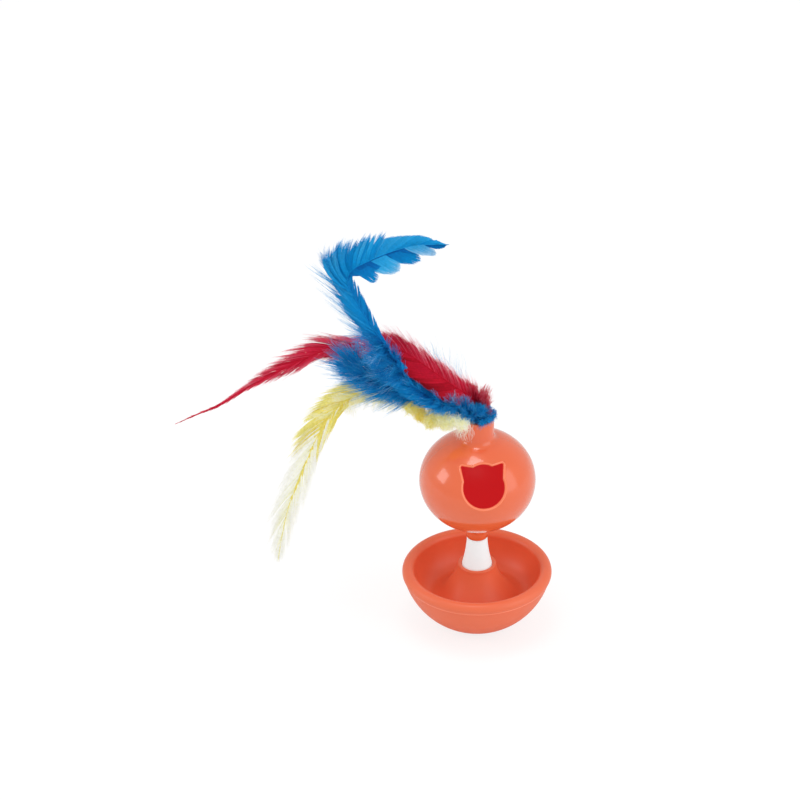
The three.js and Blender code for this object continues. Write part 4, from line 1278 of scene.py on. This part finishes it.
blue_dye = dye("blue_dye", [
    (0, 0, 62, 140), (0.25, 0, 112, 188), (0.5, 0, 144, 214), (0.75, 52, 170, 228), (1, 186, 218, 242),
], glow=0.03)
red_dye = dye("red_dye", [
    (0, 124, 4, 20), (0.25, 196, 16, 42), (0.5, 214, 30, 62), (0.75, 230, 88, 112), (1, 246, 190, 198),
], glow=0.02)
yellow_dye = dye("yellow_dye", [
    (0, 226, 194, 62), (0.25, 236, 216, 92), (0.5, 236, 229, 138), (0.75, 242, 241, 200), (1, 248, 248, 242),
], glow=0.12)
print("dyes", blue_dye.name, red_dye.name, yellow_dye.name)

# %% [markdown]
# ### The routes of the four quills
# Each route is a short list of places in mm from the middle of the neck's mouth, x to the right, y to the
# back and z up. All four rise out of the plug and lean to the left. They keep clear of each other: the long
# blue one stays in front, and the other three pass behind it.

# %% Routes of the quills
blue_long_quill = Quill(QUILL_ROOTS["blue_long"], [
    (-6, -2, 5.5), (-15, -2, 10), (-24, -2, 15), (-33, -1, 22), (-39, 0, 29), (-44, 0, 38), (-49, 0, 48),
    (-56, 0, 60), (-62, -1, 72), (-67, -1, 83), (-70, -2, 91), (-68, -2, 98), (-60, -1, 102), (-45, 2, 106),
    (-32, 3, 108), (-16, 3, 107),
])
blue_down_quill = Quill(QUILL_ROOTS["blue_down"], [
    (-9, 0.5, 5), (-19, 2, 8), (-32, 5, 13), (-45, 8, 18), (-57, 11, 24), (-66, 14, 29),
])
red_quill = Quill(QUILL_ROOTS["red"], [
    (2, 3, 5), (-3, 2, 12), (-10, 1, 18), (-18, 1, 25), (-27, 3, 32), (-34, 6, 37), (-42, 11, 40),
    (-51, 16, 39), (-65, 21, 36), (-77, 24, 34), (-91, 25, 28), (-105, 24, 22), (-120, 22, 15),
    (-136, 19, 7), (-149, 17, 3), (-159, 15, 0),
])
yellow_quill = Quill(QUILL_ROOTS["yellow"], [
    (-5, 4.4, 2.8), (-12, 6, 4.4), (-21, 7.5, 5), (-31, 9, 7), (-42, 10, 10), (-52, 12, 12), (-62, 12, 12),
    (-71, 12, 7), (-79, 10, -1), (-85, 9, -11), (-90, 8, -23), (-95, 7, -36), (-99, 6, -46), (-102, 6, -57),
    (-105, 4, -70), (-107, 3, -83),
])
for label, quill in (("blue long", blue_long_quill), ("blue down", blue_down_quill), ("red", red_quill),
                     ("yellow", yellow_quill)):
    print(label, round(quill.length / MM, 1), "mm")

# %% [markdown]
# ### The long blue feather
# It rises from the neck, bends over at the top and ends in a neat pointed vane. The outer barbs before the
# bend are long and keep their own direction, so they stand off as spikes, while the inner side is short and
# sleek. Under the curl the vane has parted into a few broad lobes that overlap.

# %% Grow the vane of the long blue feather
blue_long_vane = [
    vane(blue_long_quill, LEFT, [
        (0.14, 9, 40, 24), (0.22, 14, 32, 16), (0.32, 18, 24, 10), (0.42, 21, 20, 9), (0.54, 24, 17, 8),
        (0.61, 28, 14, 3), (0.655, 28, 12, 0),
    ], count=2300, seed=11, follow=0.15, ragged=0.12, tuft=(10, 50), pull=0.15, lift=0.035, steps=6,
         pale=(0.38, 0.2)),
    vane(blue_long_quill, LEFT, [
        (0.635, 26, 22, 4), (0.672, 21, 36, 14), (0.71, 15, 54, 30), (0.75, 13, 58, 34), (0.79, 12.5, 46, 24),
    ], count=1700, seed=14, follow=0.3, ragged=0.14, tuft=(70, 140), pull=0.5, lift=0.1, pale=(0.42, 0.24),
         tones=(0, 0.06, -0.04)),
    vane(blue_long_quill, LEFT, [
        (0.745, 12, 48, 25), (0.8, 14, 38, 18), (0.86, 13, 29, 12), (0.91, 9.5, 24, 8), (0.95, 6, 18, 4),
        (0.98, 3, 9, 0), (1, 1, 4, 0),
    ], count=2000, seed=15, follow=0.75, ragged=0.015, tuft=(90, 240), pull=0.03, cup=0.05, lift=0.012,
         pale=(0.5, 0.16), tones=(0, 0.04, -0.02, 0.03)),
    vane(blue_long_quill, RIGHT, [
        (0.12, 9, 40, 24), (0.2, 10, 36, 20), (0.3, 8, 30, 14), (0.37, 3, 22, 8), (0.42, 6, 24, 10),
        (0.5, 11, 28, 12), (0.6, 11, 28, 12), (0.67, 8, 32, 16), (0.7, 5, 44, 34),
    ], count=1900, seed=12, follow=0.9, ragged=0.08, cup=0.03, lift=0.015, steps=6, pale=(0.3, 0.16)),
    vane(blue_long_quill, RIGHT, [
        (0.7, 9, 84, 66), (0.75, 13.5, 78, 56), (0.8, 14, 64, 40), (0.86, 14, 48, 26), (0.91, 12, 36, 16),
        (0.96, 6, 20, 6), (1, 1, 6, 1),
    ], count=1500, seed=16, follow=0.5, ragged=0.03, tuft=(240, 380), pull=0.1, lift=0.1, pale=(0.44, 0.24),
         tones=(-0.2, 0.18, -0.08, 0.22), lobe=0.3),
    # This dark group under the curl is painted shade for the shadowed inner bend.
    vane(blue_long_quill, RIGHT, [
        (0.73, 8, 66, 46), (0.79, 10, 50, 30), (0.85, 9, 40, 20), (0.92, 7, 30, 12),
    ], count=700, seed=24, follow=0.5, ragged=0.03, tuft=(120, 200), pull=0.3, cup=0.2, lift=0.06, steps=6,
         pale=(0.12, 0.2)),
    vane(blue_long_quill, LEFT, [(0.3, 20, 28, 20), (0.5, 27, 24, 15), (0.66, 25, 28, 18)], count=260,
         seed=13, follow=0.1, ragged=0.25, tuft=(2, 7), pull=0.3, thick=0.06, pale=(0.5, 0.4)),
]
feather_piece("blue_long_plume", "blue_long_feather", blue_dye, blue_long_vane,
              blue_long_quill, thick=0.5, shade_of=lambda share: 0.3 + 0.4 * share**3)

# %% [markdown]
# The lower half of the same feather is down. It is kept as a second piece, because vane and down together
# would be heavier than one piece should be. It starts with a dense muff round the neck's mouth, part of
# which hangs over the rim. Longer threads stand off on the left, and a few single ones on the right.

# %% Grow the fluff of the long blue feather
blue_long_down = [
    down(blue_long_quill, 0.14, 0.42, count=1000, seed=17, length=(7, 17), lean=44, around=(60, 250),
         curl=0.7, thick=0.075, shade=(0.24, 0.45)),
    down(blue_long_quill, 0.31, 0.4, count=700, seed=28, length=(12, 20), lean=64, around=(120, 200),
         curl=0.7, thick=0.07, shade=(0.2, 0.4)),
    down(blue_long_quill, 0.3, 0.47, count=1000, seed=20, length=(13, 24), lean=50, around=(130, 200),
         thick=0.06, shade=(0.42, 0.35)),
    # These short, darkest threads behind the quill are painted shadow, where the red feather keeps light off
    # the blue.
    down(blue_long_quill, 0.14, 0.38, count=700, seed=21, length=(6, 11), lean=38, around=(-90, -15),
         curl=0.7, thick=0.08, shade=(0, 0.3)),
    down(blue_long_quill, 0.09, 0.19, count=260, seed=19, length=(32, 42), lean=66, around=(-58, -30),
         curl=1.5, lock=5, shade=(0.66, 0.4)),
    down(blue_long_quill, 0.045, 0.16, count=2600, seed=18, length=(5, 11), around=(0, 360), curl=0.9,
         turns=1, thick=0.085, lock=22, cling=0.5, shade=(0.26, 0.5)),
    down(blue_long_quill, 0.048, 0.07, count=1100, seed=25, length=(6, 10.5), lean=76, around=(-60, 80),
         bend=(0.15, -0.1, -0.1), curl=0.9, turns=1, thick=0.085, lock=20, cling=0.45, shade=(0.24, 0.45)),
    over_rim(QUILL_ROOTS["blue_long"], around=(-95, 50), count=800, seed=31, fall=(-3.5, 1), out=(0, 1.4),
             rise=(2, 4.5), curl=0.9, turns=1, thick=0.085, lock=16, cling=0.4, shade=(0.26, 0.45)),
]
feather_piece("blue_long_fluff", "blue_long_feather", blue_dye, blue_long_down)

# %% [markdown]
# ### The blue down feather
# A short soft feather hangs under the red one. Its barbs are long and loose, fan out to the left and end in
# separate points.

# %% Grow the blue down feather
LOOSE = {"follow": 0.1, "ragged": 0.25, "tuft": (8, 24), "pull": 0.6, "lift": 0.3, "thick": 0.09, "steps": 6}
blue_down_groups = [
    vane(blue_down_quill, LEFT, [
        (0.42, 6, 60, 44), (0.55, 9, 56, 40), (0.65, 12, 50, 32), (0.8, 14, 42, 24), (0.92, 13, 30, 14),
        (1, 11, 14, 4),
    ], count=1300, seed=21, cup=0.05, pale=(0.26, 0.45), **LOOSE),
    vane(blue_down_quill, RIGHT, [
        (0.3, 10, 40, 26), (0.6, 16, 38, 22), (0.85, 18, 32, 16), (1, 13, 14, 6),
    ], count=1300, seed=22, pale=(0.24, 0.45), **LOOSE),
    vane(blue_down_quill, LEFT, [(0.5, 14, 60, 50), (0.75, 19, 50, 34), (1, 17, 24, 10)], count=200, seed=29,
         pale=(0.34, 0.5), **(LOOSE | {"follow": 0.05, "tuft": (3, 8), "pull": 0.5})),
    down(blue_down_quill, 0.85, 1, count=200, seed=30, length=(13, 20), lean=20, around=(0, 360), curl=0.5,
         thick=0.08, lock=5, cling=0.7, shade=(0.34, 0.4)),
    down(blue_down_quill, 0.5, 1, count=2200, seed=23, length=(6, 13), lean=42, around=(60, 280),
         thick=0.065, shade=(0.28, 0.5)),
    down(blue_down_quill, 0.1, 0.55, count=1800, seed=24, length=(3.5, 6.5), around=(0, 360), curl=0.9,
         thick=0.08, lock=20, cling=0.5, shade=(0.18, 0.5)),
    down(blue_down_quill, 0.45, 0.95, count=1300, seed=27, length=(9, 16), lean=48, around=(-30, 70),
         thick=0.07, shade=(0.26, 0.4)),
    down(blue_down_quill, 0.8, 1, count=420, seed=26, length=(16, 25), lean=26, around=(10, 120), curl=0.7,
         thick=0.06, shade=(0.34, 0.35)),
]
feather_piece("blue_down_plume", "blue_down_feather", blue_dye, blue_down_groups,
              blue_down_quill, thick=0.6, shade_of=lambda share: 0.3)

# %% [markdown]
# ### The red feather
# Near the neck it is a dense dark saddle with a fuzzy upper edge. Behind the long blue feather it narrows,
# and it ends far to the left in a thin curved point.

# %% Grow the red feather
TAIL = {"count": 1900, "follow": 0.45, "ragged": 0.2, "tuft": (10, 40), "pull": 0.3, "thick": 0.1}
red_groups = [
    vane(red_quill, LEFT, [
        (0.05, 7, 62, 50), (0.085, 12, 54, 42), (0.12, 14, 48, 32), (0.16, 16.5, 41, 25), (0.22, 18, 37, 22),
        (0.27, 17, 31, 18), (0.33, 14, 25, 13), (0.38, 14, 20, 11),
    ], count=2400, seed=32, follow=0.4, ragged=0.02, tuft=(120, 300), pull=0.03, cup=-0.05, lift=0.015,
         steps=6, pale=(0.27, -0.2)),
    vane(red_quill, RIGHT, [
        (0.085, 8, 40, 24), (0.12, 11, 32, 20), (0.16, 13, 28, 16), (0.25, 14, 24, 13), (0.33, 14, 22, 11),
        (0.38, 14, 20, 10),
    ], count=2400, seed=31, follow=0.4, ragged=0.12, tuft=(30, 90), cup=0.02, lift=0.02, steps=6,
         pale=(0.32, 0.26)),
    vane(red_quill, RIGHT, [(0.08, 11, 44, 30), (0.2, 15, 34, 20), (0.36, 16, 28, 16)], count=380, seed=34,
         follow=0.25, ragged=0.2, tuft=(2, 7), pull=0.3, lift=0.15, thick=0.06, pale=(0.5, 0.6)),
    vane(red_quill, RIGHT, [
        (0.37, 15, 20, 10), (0.46, 19, 24, 10), (0.56, 18, 22, 9), (0.66, 14, 16, 6), (0.76, 9, 10, 4),
        (0.88, 5, 7, 3), (1, 1.5, 4, 2),
    ], seed=33, pale=(0.4, 0.4), **TAIL),
    vane(red_quill, LEFT, [
        (0.35, 16, 24, 14), (0.42, 19, 26, 13), (0.5, 17, 22, 9), (0.56, 16, 20, 8), (0.66, 12, 15, 5),
        (0.76, 7, 9, 4), (0.88, 4, 7, 3), (1, 1.5, 4, 2),
    ], seed=35, pale=(0.38, 0.4), **TAIL),
    down(red_quill, 0.03, 0.09, count=1100, seed=36, length=(7, 14), lean=40, around=(-60, 90), curl=0.5,
         turns=0.8, thick=0.09, cling=0.55, shade=(0.2, 0.6)),
]
feather_piece("red_plume", "red_feather", red_dye, red_groups, red_quill, thick=0.4,
              shade_of=lambda share: 0.28)

# %% [markdown]
# ### The yellow feather
# Its foot is a row of pale fluffy lumps over the ball. Past them it arches out, is strongest yellow at the
# bend, and hangs down as a thin yellow core with a wide fringe that is nearly white. Bend, fringe and core
# have the same look on both sides of the quill, so each look is written once.

# %% Grow the yellow feather
BEND = {"count": 2200, "ragged": 0.14, "tuft": (30, 90), "pull": 0.06, "thick": 0.18, "steps": 6,
        "pale": (0.24, 0.26)}
FRINGE = {"count": 1000, "ragged": 0.15, "tuft": (6, 20), "pull": 0.1, "thick": 0.045, "steps": 6,
          "pale": (0.85, 0.3)}
CORE = {"count": 600, "follow": 0.8, "thick": 0.11, "steps": 6, "pale": (0.2, 0.4)}
CORE_ROWS = [(0.5, 9, 20, 8), (0.66, 6, 14, 6), (0.8, 4, 9, 4), (1, 1, 5, 2)]
LUMP = {"curl": 1, "turns": 1.2, "thick": 0.085, "hang": 0.2}
yellow_groups = [
    vane(yellow_quill, RIGHT, [
        (0.27, 8, 40, 26), (0.34, 13, 32, 18), (0.42, 18, 26, 12), (0.5, 21, 22, 12), (0.57, 18, 20, 10),
    ], seed=41, follow=0.35, **BEND),
    vane(yellow_quill, LEFT, [
        (0.27, 8, 36, 24), (0.34, 12, 28, 16), (0.42, 14, 24, 12), (0.5, 16, 22, 10), (0.57, 14, 20, 10),
    ], seed=42, follow=0.6, **BEND),
    vane(yellow_quill, RIGHT, [
        (0.46, 20, 22, 10), (0.7, 25, 22, 9), (0.85, 19, 17, 7), (0.95, 9, 12, 5), (1, 2, 6, 3),
    ], seed=43, follow=0.4, **FRINGE),
    vane(yellow_quill, LEFT, [
        (0.46, 18, 24, 10), (0.7, 24, 22, 9), (0.85, 18, 17, 7), (0.95, 9, 12, 5), (1, 2, 6, 3),
    ], seed=44, follow=0.5, **FRINGE),
    vane(yellow_quill, RIGHT, CORE_ROWS, seed=45, **CORE),
    vane(yellow_quill, LEFT, CORE_ROWS, seed=46, **CORE),
    puffs(yellow_quill, [
        (0.24, -4.5, 7, 4.4, -0.02), (0.205, -7.5, 7, 4.4, -0.14), (0.176, -9.8, 7.5, 4.2, 0.1),
        (0.15, -7.5, 8, 3.8, 0.16),
    ], count=1700, seed=47, shade=(0.34, 0.4), **LUMP),
    puffs(yellow_quill, [
        (0.132, -10.4, 8.5, 4.6, -0.08), (0.104, -8.5, 10, 4, 0), (0.078, -9.4, 11, 3.8, 0.04),
    ], count=1200, seed=52, shade=(0.72, 0.25), **LUMP),
    down(yellow_quill, 0.24, 0.46, count=900, seed=49, length=(6, 13), lean=58, around=(120, 250), curl=0.6,
         shade=(0.78, 0.2)),
    down(yellow_quill, 0.36, 0.52, count=500, seed=53, length=(8, 15), lean=40, around=(-60, 60), curl=0.6,
         shade=(0.5, 0.4)),
    over_rim(QUILL_ROOTS["yellow"], around=(172, 232), count=260, seed=48, fall=(0.5, 5), rise=(3, 5),
             turns=1, thick=0.075, lock=10, shade=(0.74, 0.2)),
    over_rim(QUILL_ROOTS["yellow"], around=(176, 240), count=90, seed=50, fall=(5, 11), out=(1, 4.5),
             rise=(3, 5), curl=1.8, turns=1.5, thick=0.09, steps=14, lock=3, shade=(0.84, 0.15)),
]
feather_piece("yellow_plume", "yellow_feather", yellow_dye, yellow_groups, yellow_quill,
              thick=0.45, shade_of=lambda share: 0.4)

# %% [markdown]
# ## The two boxes
# The boxes of the CAD model and of the dressed toy are kept together and printed. The dressed toy may not
# be larger than the CAD model, apart from what soft fibres stand proud.

# %% Write the boxes
dressed_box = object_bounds()
boxes = {"cad": [list(corner) for corner in cad_box], "visual": [list(corner) for corner in dressed_box]}
for label, (low, high) in boxes.items():
    print(label, [round(v / MM, 1) for v in low], [round(v / MM, 1) for v in high])
